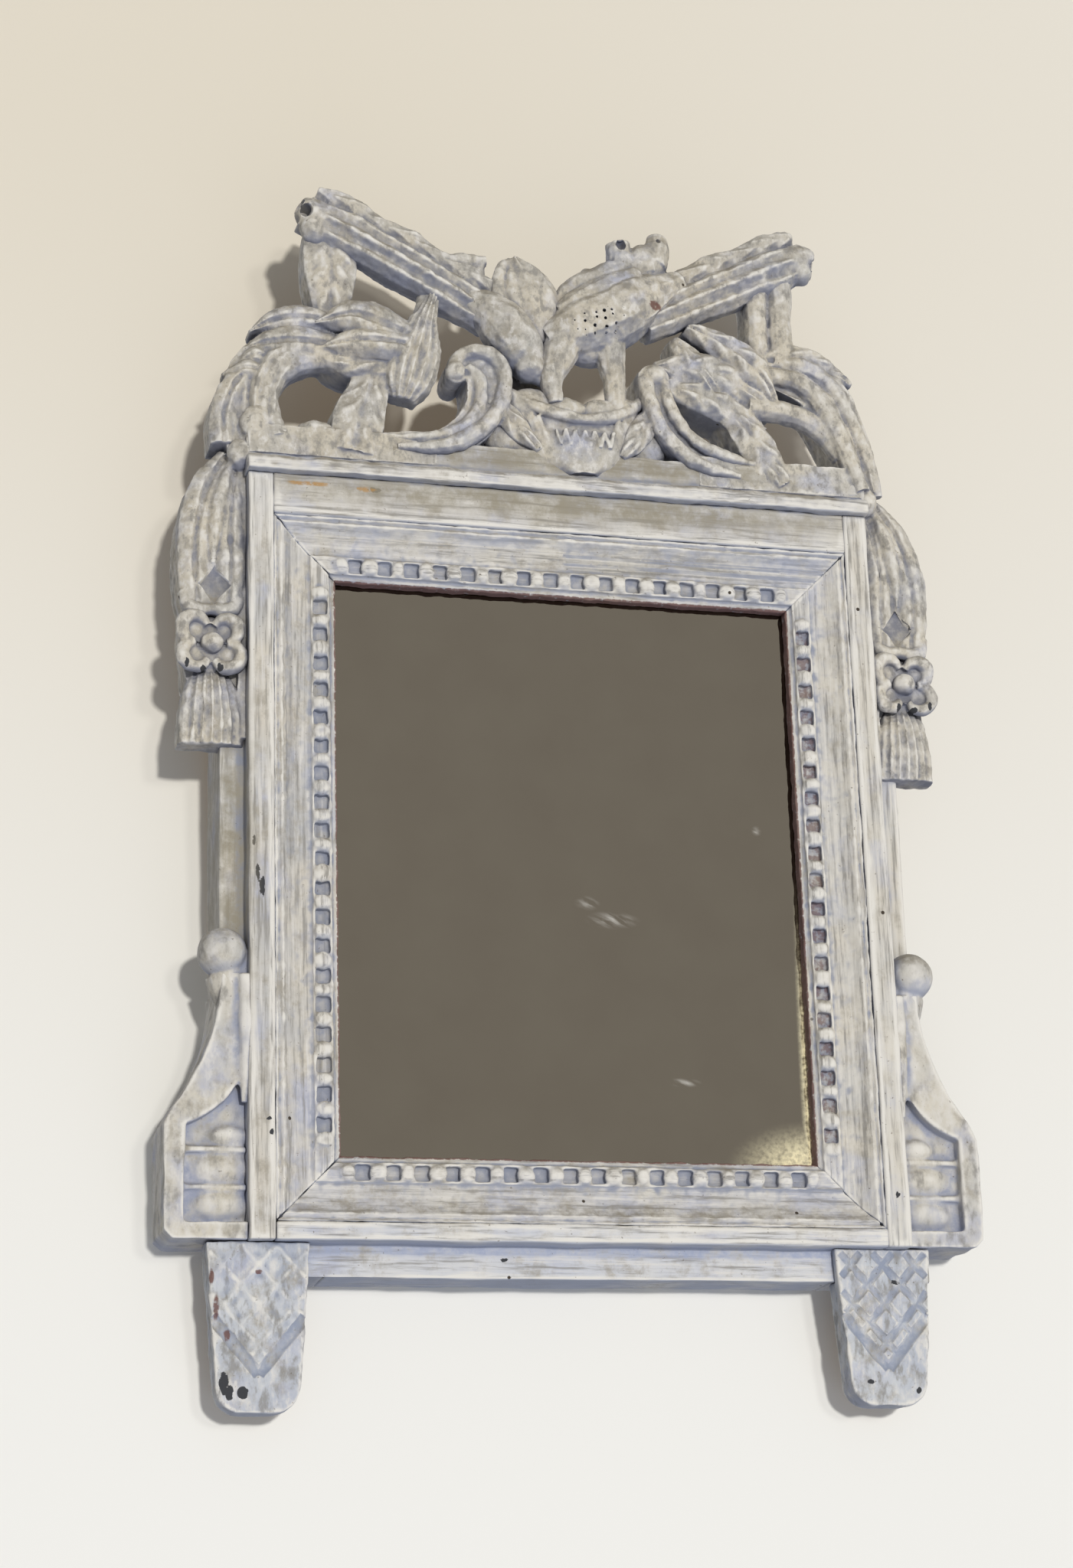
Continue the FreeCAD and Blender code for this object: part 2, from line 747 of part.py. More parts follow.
def nest():
    """Basket with a sagging rim, narrowing to its foot on the cornice's face."""
    def shifted(place, shift):
        return on_crest(place[0] + shift, place[1])

    def rim(taper, depth):
        left = shifted(nest_left, taper)
        right = shifted(nest_right, -taper)
        foot_left = shifted(nest_foot_left, taper / 2)
        foot_right = shifted(nest_foot_right, -taper / 2)
        return outline([
            (left, on_crest(*nest_sag), right),
            (right, shifted(nest_right_side, -taper), foot_right),
            (foot_right, foot_left),
            (foot_left, shifted(nest_left_side, taper), left)], depth)

    rims = [rim(0, scroll_back), rim(0, nest_depth), rim(nest_taper, nest_front)]
    return Part.makeLoft(rims, True, True)


def scroll(runs):
    """C-scroll that curls in at its top and runs out along the cornice."""
    placed = [tuple(on_crest(*point) for point in run) for run in runs]
    return plate(placed, scroll_back, scroll_front)


def spray(side, leaves, plinth):
    """Laurel and acanthus leaves between the cornice's end, the quiver and the scroll."""
    blades = [
        leaf(from_end(side, *base), from_end(side, *tip), width, front)
        for base, tip, width, front in leaves]
    ends = sorted(side * (cornice_x - inset) for inset in plinth)
    strip = block(*ends, leaf_back, plinth_front, cornice_top, cornice_top + plinth_h)
    return joined(blades + [strip])


def crest_pieces(base):
    """Crest carvings, each trimmed by the pieces that it is fitted round."""
    made = {}
    fixed = [base]
    carvings = [
        ("nest_basket", nest()),
        ("left_scroll", scroll(left_scroll_runs)), ("right_scroll", scroll(right_scroll_runs)),
        ("left_dove", left_dove()), ("right_dove", right_dove()),
        ("left_quiver", left_quiver()), ("right_quiver", right_quiver()),
        ("left_leaf_spray", spray(-1, left_leaves, left_plinth)),
        ("right_leaf_spray", spray(1, right_leaves, right_plinth)),
    ]
    for name, carving in carvings:
        shape = largest(cut_all(carving, fixed))
        made[name] = shape
        fixed.append(shape)
    return made


def side_pieces(side, spray, base):
    """Bracket, ball, drop, rosette and foot of one side, each fitted against the frame."""
    def placed(shape):
        return shape if side == "right" else mirrored(shape)

    edge = placed(stile_blank())
    lower_edge = block(-stile_x, stile_x, 0, step_depth, frame_bottom, face_bottom)
    body = placed(bracket())
    patera = placed(rosette()).cut(edge)
    strand = cut_all(placed(drop()), [edge, base, spray, patera])
    if side == "right":
        tapered = foot(sight_x + right_foot_out, right_foot_h)
    else:
        tapered = foot(-sight_x - left_foot_out, left_foot_h)
    return {
        side + "_bracket": body,
        side + "_ball": cut_all(placed(ball()), [edge, body]),
        side + "_rosette": patera,
        side + "_drop": largest(strand),
        side + "_foot": cut_all(tapered, [lower_edge, body]),
    }


def all_nodes():
    nodes = {
        "left_stile": stile(-1), "right_stile": stile(1),
        "top_rail": top_rail(), "bottom_rail": bottom_rail(),
        "top_moulding": moulding(sight_w, 0, 0, sight_top),
        "right_moulding": moulding(sight_h, 90, sight_x, sight_z),
        "bottom_moulding": moulding(sight_w, 180, 0, sight_bottom),
        "left_moulding": moulding(sight_h, -90, -sight_x, sight_z),
        "mirror_glass": glass(), "backboard": backboard(),
        "backboard_brads": Part.makeCompound(brad_set(brad_r)),
        "joint_pegs": Part.makeCompound(peg_set(peg_r)),
        "crest_dowels": Part.makeCompound(crest_dowels(dowel_r)),
        "foot_dowels": Part.makeCompound(foot_dowels(foot_dowel_r)),
        "cornice_board": cornice(),
        "hanging_ring": hanging_ring(), "hanger_strap": hanger_strap(),
        "hanger_screws": Part.makeCompound(hanger_screws(0.0)),
    }
    nodes.update(crest_pieces(nodes["cornice_board"]))
    for side in ("left", "right"):
        nodes.update(side_pieces(side, nodes[side + "_leaf_spray"], nodes["cornice_board"]))
    return nodes


os.makedirs("parts", exist_ok=True)
for node, shape in all_nodes().items():
    shape.exportStep("parts/" + node + ".step")
    print(node, len(shape.Solids), round(shape.Volume), shape.isValid())
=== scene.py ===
# %% [markdown]
# # A carved and painted wall mirror
# The mirror hangs on a wall: a joined wood frame with a beaded moulding, a pierced crest with two
# doves over a nest, carved drops, scrolled brackets and two feet, all under old chalky paint.
# The CAD frame gives every piece its size and place. This lesson carves what the eye sees over it.

import json
from math import pi, radians

import bpy
import numpy as np
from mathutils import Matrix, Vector

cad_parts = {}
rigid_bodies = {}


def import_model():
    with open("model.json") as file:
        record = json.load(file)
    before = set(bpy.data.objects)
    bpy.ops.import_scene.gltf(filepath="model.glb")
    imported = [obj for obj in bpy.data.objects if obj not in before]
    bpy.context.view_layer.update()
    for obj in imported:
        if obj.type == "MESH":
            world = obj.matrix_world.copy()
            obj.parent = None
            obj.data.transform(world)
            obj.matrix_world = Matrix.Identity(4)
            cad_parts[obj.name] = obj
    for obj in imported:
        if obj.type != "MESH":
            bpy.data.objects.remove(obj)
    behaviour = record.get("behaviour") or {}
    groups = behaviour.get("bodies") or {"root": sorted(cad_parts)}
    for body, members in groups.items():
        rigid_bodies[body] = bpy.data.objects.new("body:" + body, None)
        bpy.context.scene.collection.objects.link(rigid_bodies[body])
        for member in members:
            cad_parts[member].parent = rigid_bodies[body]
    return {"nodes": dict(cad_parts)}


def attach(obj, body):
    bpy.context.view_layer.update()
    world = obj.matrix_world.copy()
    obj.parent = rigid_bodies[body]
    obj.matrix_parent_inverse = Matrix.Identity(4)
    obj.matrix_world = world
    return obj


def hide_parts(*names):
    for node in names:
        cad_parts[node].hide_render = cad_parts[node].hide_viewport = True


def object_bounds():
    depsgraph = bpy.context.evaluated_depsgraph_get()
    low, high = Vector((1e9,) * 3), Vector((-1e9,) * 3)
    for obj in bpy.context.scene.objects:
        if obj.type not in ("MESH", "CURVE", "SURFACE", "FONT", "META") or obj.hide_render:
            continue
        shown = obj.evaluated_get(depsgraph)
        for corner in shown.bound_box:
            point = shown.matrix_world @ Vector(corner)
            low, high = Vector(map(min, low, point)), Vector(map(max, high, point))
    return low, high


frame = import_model()
first_low, first_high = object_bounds()
print("CAD nodes:", len(frame["nodes"]))

# %% [markdown]
# ## Places
# A maker measures a wall mirror across, up and forwards from the wall. These two helpers turn such
# millimetres into points of the scene. The crest is measured up from the cornice's top.

# %% Millimetres to points
MM = 0.001
WALL = 4.0
CORNICE_TOP = 37.5


def spot(x, depth, z):
    return Vector((x * MM, (WALL - depth) * MM, z * MM))


def on_crest(x, up, depth):
    return spot(x, depth, CORNICE_TOP + up)


print("crest starts at", tuple(round(v, 4) for v in on_crest(0, 0, 0)))

# %% [markdown]
# ## The carver's tools
# Carving under thick paint has no sharp corners. A good way to get that look is to pile up simple
# closed forms, melt them together with a voxel remesh, and soften the skin. The forms are a lump, a
# slab, a four-sided pin, a rope that swells and thins along a path, and a leaf with a midrib. An operator
# acts on all that is selected, so each tool first makes sure that only its own object is.

# %% One object at a time
def alone(obj):
    bpy.ops.object.select_all(action="DESELECT")
    obj.select_set(True)
    bpy.context.view_layer.objects.active = obj


def modified(obj, kind, **settings):
    change = obj.modifiers.new(kind.title(), kind)
    for key, value in settings.items():
        setattr(change, key, value)
    alone(obj)
    bpy.ops.object.modifier_apply(modifier=change.name)
    return obj


def joined(name, parts):
    alone(parts[0])
    for part in parts:
        part.select_set(True)
    if len(parts) > 1:
        bpy.ops.object.join()
    parts[0].name = name
    return parts[0]


alone(frame["nodes"]["mirror_glass"])
print("tools act on", bpy.context.object.name)

# %% [markdown]
# ### Lumps, slabs and pins
# A carver first leaves round masses and flat grounds standing. A sphere, a cube and a four-sided
# cylinder, added at their size and place, stand for them. They are only stock: each is melted into a
# larger piece or cuts a hollow in one, so none of them stays as it is.

# %% Lumps and slabs
def lump(at, size, turn=0.0):
    """Rounded form, size in millimetres from its middle, turned in the plane of the wall."""
    bpy.ops.object.select_all(action="DESELECT")
    bpy.ops.mesh.primitive_ico_sphere_add(
        subdivisions=3, radius=MM, location=at, rotation=(0, radians(turn), 0), scale=size)
    bpy.ops.object.transform_apply(location=True, rotation=True, scale=True)
    return bpy.context.object


def slab(x_low, x_high, depth_low, depth_high, z_low, z_high):
    low = spot(x_low, depth_high, z_low)
    high = spot(x_high, depth_low, z_high)
    bpy.ops.object.select_all(action="DESELECT")
    bpy.ops.mesh.primitive_cube_add(size=1, location=(low + high) / 2, scale=high - low)
    bpy.ops.object.transform_apply(location=True, rotation=True, scale=True)
    return bpy.context.object


def lozenge(at, size):
    """Four-sided pin that points at the viewer, size in millimetres from its middle."""
    bpy.ops.object.select_all(action="DESELECT")
    bpy.ops.mesh.primitive_cylinder_add(vertices=4, radius=MM, depth=2 * MM, location=at,
                                        rotation=(radians(90), 0, 0))
    bpy.context.object.scale = (size[0], size[2], size[1])
    bpy.ops.object.transform_apply(location=True, rotation=True, scale=True)
    return bpy.context.object


print("stock: lump, slab, lozenge")

# %% [markdown]
# ### Ropes
# Stems, scrolls and rolled edges are round bands that swell and thin. A curve with a radius at each of
# its points draws such a band in one stroke, where an extruded circle would need many. Its ends are
# capped and welded, so that the same rope can also cut a groove.

# %% Ropes
ROPE_WELD = 0.001


def rope(path, radii):
    """Round form along a smooth path of points, with a radius in millimetres at each of them."""
    bpy.ops.object.select_all(action="DESELECT")
    bpy.ops.curve.primitive_bezier_curve_add()
    line = bpy.context.object
    line.data.dimensions = "3D"
    line.data.bevel_depth = MM
    line.data.bevel_resolution = 4
    line.data.resolution_u = 8
    line.data.use_fill_caps = True
    spline = line.data.splines[0]
    spline.radius_interpolation = "CARDINAL"
    spline.bezier_points.add(len(path) - 2)
    for point, at, radius in zip(spline.bezier_points, path, radii):
        point.co = at
        point.radius = radius
        point.handle_left_type = "AUTO"
        point.handle_right_type = "AUTO"
    bpy.ops.object.convert(target="MESH")
    form = bpy.context.object
    bpy.ops.object.transform_apply(location=True, rotation=True, scale=True)
    bpy.ops.object.mode_set(mode="EDIT")
    bpy.ops.mesh.select_all(action="SELECT")
    bpy.ops.mesh.remove_doubles(threshold=ROPE_WELD * MM)
    bpy.ops.mesh.normals_make_consistent(inside=False)
    bpy.ops.object.mode_set(mode="OBJECT")
    return form


print("ropes are welded within", ROPE_WELD, "mm")

# %% [markdown]
# ### Leaves
# Laurel, feathers and folds are long forms with a crown, a midrib and veins. A grid is bent along a
# path, raised to its section and extruded down to a flat ground, as a leaf in relief is left standing on
# the board. Its points are set in code, because ribs that follow a bend are hard to pull by hand.

# %% Leaves
def flow(points, share):
    """A smooth line through the points, at shares of its length from 0 to 1."""
    points = np.asarray(points, float)
    last = len(points) - 1
    at = np.clip(np.asarray(share) * last, 0, last - 1e-6)
    step = at.astype(int)
    t = (at - step)[:, None] if points.ndim == 2 else at - step
    before = points[np.maximum(step - 1, 0)]
    start = points[step]
    end = points[step + 1]
    after = points[np.minimum(step + 2, last)]
    bend = (2 * before - 5 * start + 4 * end - after) * t ** 2
    turn = (3 * start - before - 3 * end + after) * t ** 3
    return (2 * start + (end - before) * t + bend + turn) / 2


LEAF_CELLS = (44, 20)
LEAF_ROUND = 2.2
MIDRIB_REACH = 0.16
VEIN_SLANT = 0.9


def leaf(path, widths, back, crown=3.0, groove=1.2, ribs=0, rib=0.8, veins=0, vein=1.0):
    """Leaf along (x, z, depth) points in millimetres, with half widths, carved down to a flat back."""
    bpy.ops.object.select_all(action="DESELECT")
    bpy.ops.mesh.primitive_grid_add(x_subdivisions=LEAF_CELLS[0], y_subdivisions=LEAF_CELLS[1], size=2)
    blade = bpy.context.object
    flat = np.empty(len(blade.data.vertices) * 3)
    blade.data.vertices.foreach_get("co", flat)
    along = (flat[0::3] + 1) / 2
    across = flat[1::3].copy()
    middle = flow(path, along)
    ahead = flow(path, np.minimum(along + 0.01, 1)) - flow(path, np.maximum(along - 0.01, 0))
    ahead /= np.hypot(ahead[:, 0], ahead[:, 1])[:, None]
    half = flow(widths, along)
    edge = np.abs(across)
    rise = crown * (1 - edge ** LEAF_ROUND) - groove * np.exp(-(across / MIDRIB_REACH) ** 2)
    rise += rib * np.cos(pi * ribs * across) * (ribs > 0)
    wave = np.cos(2 * pi * (veins * along - VEIN_SLANT * edge))
    rise += vein * wave * 4 * edge * (1 - edge) * (veins > 0)
    flat[0::3] = (middle[:, 0] - ahead[:, 1] * across * half) * MM
    flat[1::3] = (WALL - middle[:, 2] - rise) * MM
    flat[2::3] = (middle[:, 1] + ahead[:, 0] * across * half) * MM
    blade.data.vertices.foreach_set("co", flat)
    bpy.ops.object.mode_set(mode="EDIT")
    bpy.ops.mesh.select_all(action="SELECT")
    bpy.ops.mesh.extrude_region_move()
    bpy.ops.transform.resize(value=(1, 0, 1), center_override=(0, (WALL - back) * MM, 0))
    bpy.ops.mesh.select_all(action="SELECT")
    bpy.ops.mesh.normals_make_consistent(inside=False)
    bpy.ops.object.mode_set(mode="OBJECT")
    return blade


print("a leaf has", LEAF_CELLS[0] * LEAF_CELLS[1], "faces on its front")

# %% [markdown]
# ### Measured from the cornice
# All heights on the crest are taken from the cornice's top. Two short helpers add that height, which
# keeps the lists of points below easy to read and to change.

# %% Leaves and stems of the crest
def crest_leaf(path, widths, back=20.0, **carving):
    return leaf([(x, CORNICE_TOP + up, depth) for x, up, depth in path], widths, back, **carving)


def stem(path, radii):
    return rope([on_crest(*point) for point in path], radii)


print("crest heights start at", CORNICE_TOP, "mm")

# %% [markdown]
# ### Melting, cutting and wearing
# Glue, gesso and many coats make one skin of separate carved parts. A voxel remesh does the same: it
# joins what overlaps and rounds what meets. Grooves are cut after it with a boolean, because a cell
# would fill them, and a displacement gives the waver of hand work.

# %% Melting, cutting and wearing
CAD_WELD = 0.01
CARVING_CELL = 0.75
CARVING_SWELLS = ((13, 2.2), (4.5, 0.9))


def copy_of(node):
    """Copy of a CAD piece with its loose triangles merged, ready to be carved."""
    piece = frame["nodes"][node].copy()
    piece.data = piece.data.copy()
    bpy.context.collection.objects.link(piece)
    alone(piece)
    bpy.ops.object.parent_clear(type="CLEAR_KEEP_TRANSFORM")
    bpy.ops.object.transform_apply(location=True, rotation=True, scale=True)
    bpy.ops.object.mode_set(mode="EDIT")
    bpy.ops.mesh.select_all(action="SELECT")
    bpy.ops.mesh.remove_doubles(threshold=CAD_WELD * MM)
    bpy.ops.object.mode_set(mode="OBJECT")
    return piece


def melted(name, parts, voxel, soften):
    """The parts as one skin, with cells and a softening that suit its size."""
    piece = joined(name, parts)
    piece.data.remesh_voxel_size = voxel * MM
    alone(piece)
    bpy.ops.object.voxel_remesh()
    return modified(piece, "SMOOTH", factor=0.5, iterations=soften)


def cut_by(piece, tools):
    for tool in tools:
        modified(piece, "BOOLEAN", operation="DIFFERENCE", object=tool, solver="MANIFOLD")
        bpy.data.objects.remove(tool)
    return piece


def wavering(piece, *swells):
    """Hand work and old paint: low swells, each of a size and a height in millimetres."""
    for size, height in swells:
        swell = bpy.data.textures.new("swell", "CLOUDS")
        swell.noise_scale = size * MM
        swell.noise_depth = 2
        modified(piece, "DISPLACE", texture=swell, strength=height * MM, mid_level=0.5)
    return piece


def carved(name, parts, slot_nodes, tools=()):
    """A whole carved piece: melted, cut, wavered, marked and painted."""
    piece = melted(name, parts, voxel=CARVING_CELL, soften=2)
    cut_by(piece, tools)
    modified(piece, "SMOOTH", factor=0.5, iterations=1)
    wavering(piece, *CARVING_SWELLS)
    mark_hollows(piece, rounds=16, depth=1.1)
    return finished(piece, paint_carving, "painted_wood", *slot_nodes)


print("carvings are melted in cells of", CARVING_CELL, "mm")

# %% [markdown]
# ## Where dirt, wear and painted shade sit
# Old paint keeps dirt and wash in its hollows, and loses them on its ridges; the paint here also puts
# painted shade in the hollows and a painted highlight on the ridges. Comparing each point with a smoothed
# copy of the skin tells a hollow from a ridge. The answer is stored on the mesh, and the paint reads it.
# Other marks store where paint has chipped off, where its red ground shows, where it is dusty or stained,
# and where the left stile's outer side gets painted shade.

# %% Marks that the paint reads
def stored(piece, name, values):
    mark = piece.data.attributes.new(name, "FLOAT", "POINT")
    mark.data.foreach_set("value", values.astype(np.float32))


def points_of(piece):
    flat = np.empty(len(piece.data.vertices) * 3)
    piece.data.vertices.foreach_get("co", flat)
    return flat.reshape(-1, 3)


def mark_hollows(piece, rounds, depth):
    """0.5 on a plain face, 1 in a hollow of that depth in millimetres, 0 on such a ridge."""
    mesh = piece.data
    points = points_of(piece)
    normals = np.empty(points.size)
    mesh.vertices.foreach_get("normal", normals)
    edges = np.empty(len(mesh.edges) * 2, int)
    mesh.edges.foreach_get("vertices", edges)
    one, two = edges[0::2], edges[1::2]
    count = len(points)
    links = np.bincount(edges, minlength=count)[:, None].clip(1)
    soft = points.copy()
    for _ in range(rounds):
        total = np.empty_like(soft)
        for axis in range(3):
            total[:, axis] = np.bincount(one, soft[two, axis], count) + np.bincount(two, soft[one, axis],
                                                                                    count)
        soft = total / links
    lift = ((soft - points) * normals.reshape(-1, 3)).sum(axis=1)
    stored(piece, "hollow", np.clip(0.5 + lift / (2 * depth * MM), 0, 1))


def mark_spots(piece, name, spots):
    """1 in the middle of each (x, z, reach across, reach up) spot, falling to 0 at its edge."""
    points = points_of(piece) / MM
    value = np.zeros(len(points))
    for x, z, across, up in spots:
        away = np.hypot((points[:, 0] - x) / across, (points[:, 2] - z) / up)
        value = np.maximum(value, np.clip(1.5 - away, 0, 1))
    stored(piece, name, value)


def finished(piece, paint, slot, *nodes):
    """Smooth, painted, riding on the frame and standing for its CAD nodes, inside the CAD box."""
    kept = np.clip(points_of(piece), first_low, first_high)
    piece.data.vertices.foreach_set("co", kept.ravel())
    piece.data.materials.clear()
    piece.data.materials.append(paint)
    alone(piece)
    bpy.ops.object.shade_smooth()
    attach(piece, "frame")
    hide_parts(*nodes)
    print(piece.name, len(piece.data.polygons), "faces")
    return piece


print("marks: hollow, chipped, bole, dusty, stained")

# %% [markdown]
# ## Chalk paint
# The finish is old distemper: chalk and a little glue, brushed on thin coats over bare carving. It is
# quite matt, cream on the open faces, and has a blue-grey wash in hollows and under ledges, with painted
# shade in the same places. Tight corners get a darker painted shade, ridges are paler with wear and a
# painted highlight, and the paint is painted lighter towards the right, where the light is stronger. Dust
# has browned what faces up, and the backs were never painted. Brush marks run along each member, so the
# paint is made for a direction.

# %% Colours and nodes
def colour(code):
    shares = [int(code[k:k + 2], 16) / 255 for k in (1, 3, 5)]
    return [s / 12.92 if s <= 0.04045 else ((s + 0.055) / 1.055) ** 2.4 for s in shares] + [1.0]


def node(tree, kind, links=None, **settings):
    made = tree.nodes.new(kind)
    for key, value in settings.items():
        setattr(made, key, value)
    for socket, source in (links or {}).items():
        if isinstance(source, bpy.types.NodeSocket):
            tree.links.new(source, made.inputs[socket])
        else:
            made.inputs[socket].default_value = source
    return made


print("cream is", [round(c, 3) for c in colour("#d0cac0")])

# %% [markdown]
# ### What happened to the paint, and its painted light and shade
# Most tones below are events in the paint's life, from the first grey coat to the chips of late years; a
# few are painted light and shade.
# They are kept apart from the material, as a decorator keeps a card of tones beside the work.

# %% Tones of the finish
GREY_COAT = "#a19a8c"
LAVENDER_COAT = "#b4b8ca"
PALE_STROKE = "#e0ddd8"
DARK_STROKE = "#8b8883"
RIGHT_SIDE_LIGHT = "#dcd8ce"
RIDGE_WEAR_AND_HIGHLIGHT = "#e8e5de"
TOP_DUST = "#877f70"
CORNER_SHADE = "#4c4d55"
SPECK = "#6b6154"
WORM_HOLE = "#3f372e"
CHIP = "#3b3c3f"
RED_GROUND = "#6a443b"
DUST_AND_SIDE_SHADE = "#968f7e"
RUST_FLECK = "#b58a4c"
RAW_BACK = "#8d7658"
print("tones of the finish from", GREY_COAT, "to", RAW_BACK)

# %% [markdown]
# ### The coats, one over the other
# Distemper is chalk in glue: matt, a little rough, and never quite even. The material is a list of layers,
# each a tone and one or more readings that say where it lies: noise for chance, the way a face looks for
# dust, wash and painted shade, the place across the piece for painted light, the closeness of corners for
# painted shade, and the marks on the mesh for wear and painted shade. Multiplied readings keep a layer to
# where all of them agree. Blotches are 13 to 45 mm, worm holes about 2 mm. Real bristle lines are finer
# than a millimetre, so the strokes are drawn about 2 mm apart to show at all.

# %% The paint
BLOTCHES = {
    "broad": (45, 3.0, 0.6), "tint": (28, 4.0, 0.6), "patch": (13, 5.0, 0.7),
    "fine": (2.6, 3.0, 0.6), "speck": (1.8, 2.0, 0.6),
}
CORNER_REACH = 11
WORM_SPACING = 17
RAGGED = 1.8


def chalk_paint(name, brush, warm, cool, wash_and_shade_tone, underside_wash_and_shade, corner_shade, right_light):
    """Old distemper in two tones, with brush marks of a length in millimetres along x, y and z."""
    paint = bpy.data.materials.new(name)
    paint.use_nodes = True
    tree = paint.node_tree
    skin = tree.nodes["Principled BSDF"]
    where = node(tree, "ShaderNodeTexCoord")
    place = where.outputs["Object"]
    turned = node(tree, "ShaderNodeSeparateXYZ", {0: where.outputs["Normal"]}).outputs
    facing = turned["Z"]
    aside = node(tree, "ShaderNodeSeparateXYZ", {0: place}).outputs["X"]
    stretch = node(tree, "ShaderNodeMapping", {"Vector": place, "Scale": [1 / (b * MM) for b in brush]})
    streak = node(tree, "ShaderNodeTexNoise", {
        "Vector": stretch.outputs[0], "Scale": 1.0, "Detail": 4.0, "Roughness": 0.65}).outputs["Fac"]
    blotch = {}
    for title, (size, detail, rough) in BLOTCHES.items():
        blotch[title] = node(tree, "ShaderNodeTexNoise", {
            "Vector": place, "Scale": 1 / (size * MM), "Detail": detail, "Roughness": rough}).outputs["Fac"]
    broad, patch, fine = blotch["broad"], blotch["patch"], blotch["fine"]
    mark = {}
    for title in ("hollow", "chipped", "bole", "dust_and_side_shade", "stained"):
        mark[title] = node(tree, "ShaderNodeAttribute", attribute_name=title).outputs["Fac"]
    hollow = mark["hollow"]
    shut_in = node(tree, "ShaderNodeAmbientOcclusion", {"Distance": CORNER_REACH * MM},
                   samples=8).outputs["AO"]
    holes = node(tree, "ShaderNodeTexVoronoi", {"Vector": place, "Scale": 1 / (WORM_SPACING * MM)})
    rare = node(tree, "ShaderNodeSeparateColor", {0: holes.outputs["Color"]}).outputs[0]

    # A blue-grey wash with painted shade sits both in tight corners and in hollows, whichever is stronger.
    wash_and_shade = 0.0
    for reading, low, high in ((shut_in, 0.90, 0.40), (hollow, 0.53, 0.85)):
        ramp = node(tree, "ShaderNodeMapRange", {
            "Value": reading, "From Min": low, "From Max": high}, interpolation_type="SMOOTHSTEP")
        wash_and_shade = node(tree, "ShaderNodeMath", {
            0: wash_and_shade, 1: ramp.outputs["Result"]}, operation="MAXIMUM", use_clamp=True).outputs[0]

    # Fine noise breaks the outline of each mark, so that it flakes and doesn't end in a round edge.
    ragged = node(tree, "ShaderNodeMath", {0: fine, 1: RAGGED}, operation="MULTIPLY",
                  use_clamp=True).outputs[0]
    flaky = node(tree, "ShaderNodeMath", {0: patch, 1: fine}, operation="ADD", use_clamp=True).outputs[0]
    worn = {}
    for title, edge in (("chipped", ragged), ("bole", ragged), ("stained", flaky)):
        worn[title] = node(tree, "ShaderNodeMath", {
            0: mark[title], 1: edge}, operation="MULTIPLY", use_clamp=True).outputs[0]

    # A layer is a tone and its readings; a reading is a socket, and where it starts, ends and tops out.
    layers = (
        (cool, (broad, 0.35, 0.65, 1.0)),
        (GREY_COAT, (patch, 0.46, 0.70, 0.8)),
        (LAVENDER_COAT, (blotch["tint"], 0.50, 0.70, 0.75)),
        (PALE_STROKE, (streak, 0.50, 0.68, 0.75)),
        (DARK_STROKE, (streak, 0.50, 0.33, 0.75)),
        # Painted light: paler towards the right side, where the light is stronger.
        (RIGHT_SIDE_LIGHT, (aside, 0.08, 0.16, right_light), (streak, 0.35, 0.60, 1.0)),
        # Wear and a painted highlight: paler on ridges.
        (RIDGE_WEAR_AND_HIGHLIGHT, (hollow, 0.43, 0.12, 0.9), (streak, 0.30, 0.56, 1.0)),
        (TOP_DUST, (facing, 0.10, 0.80, 0.75), (patch, 0.34, 0.62, 1.0)),
        (wash_and_shade_tone, (wash_and_shade,), (patch, 0.75, 0.35, 1.0)),
        # A blue-grey wash with painted shade on faces that look down.
        (underside_wash_and_shade, (facing, -0.25, -0.85, 0.8), (broad, 0.25, 0.55, 1.0)),
        # Painted shade: dark in tight corners.
        (CORNER_SHADE, (shut_in, 0.42, 0.08, corner_shade)),
        (SPECK, (blotch["speck"], 0.68, 0.78, 0.7)),
        (WORM_HOLE, (holes.outputs["Distance"], 0.065, 0.045, 1.0), (rare, 0.80, 0.82, 1.0)),
        (CHIP, (worn["chipped"], 0.50, 0.60, 1.0)),
        (RED_GROUND, (worn["bole"], 0.40, 0.75, 0.85)),
        # Dust on ledges, and painted shade on the left stile's outer side.
        (DUST_AND_SIDE_SHADE, (mark["dust_and_side_shade"],), (patch, 0.20, 0.60, 0.85)),
        (RUST_FLECK, (worn["stained"], 0.80, 1.05, 0.85)),
        (RAW_BACK, (turned["Y"], 0.80, 0.95, 0.9)),
    )
    tone = colour(warm)
    for code, *readings in layers:
        amount = None
        for reading, *ramp in readings:
            if ramp:
                low, high, top = ramp
                reading = node(tree, "ShaderNodeMapRange", {
                    "Value": reading, "From Min": low, "From Max": high, "To Max": top},
                    interpolation_type="SMOOTHSTEP").outputs["Result"]
            if amount is not None:
                reading = node(tree, "ShaderNodeMath", {
                    0: amount, 1: reading}, operation="MULTIPLY", use_clamp=True).outputs[0]
            amount = reading
        tone = node(tree, "ShaderNodeMix", {0: amount, 6: tone, 7: colour(code)},
                    data_type="RGBA").outputs[2]
    tree.links.new(tone, skin.inputs["Base Color"])
    skin.inputs["Roughness"].default_value = 0.82

    grit = node(tree, "ShaderNodeMath", {0: fine, 1: 0.5}, operation="MULTIPLY", use_clamp=True).outputs[0]
    height = node(tree, "ShaderNodeMath", {0: streak, 1: grit}, operation="ADD", use_clamp=True).outputs[0]
    relief = node(tree, "ShaderNodeBump", {"Height": height, "Strength": 0.35, "Distance": 0.5 * MM})
    tree.links.new(relief.outputs[0], skin.inputs["Normal"])
    return paint


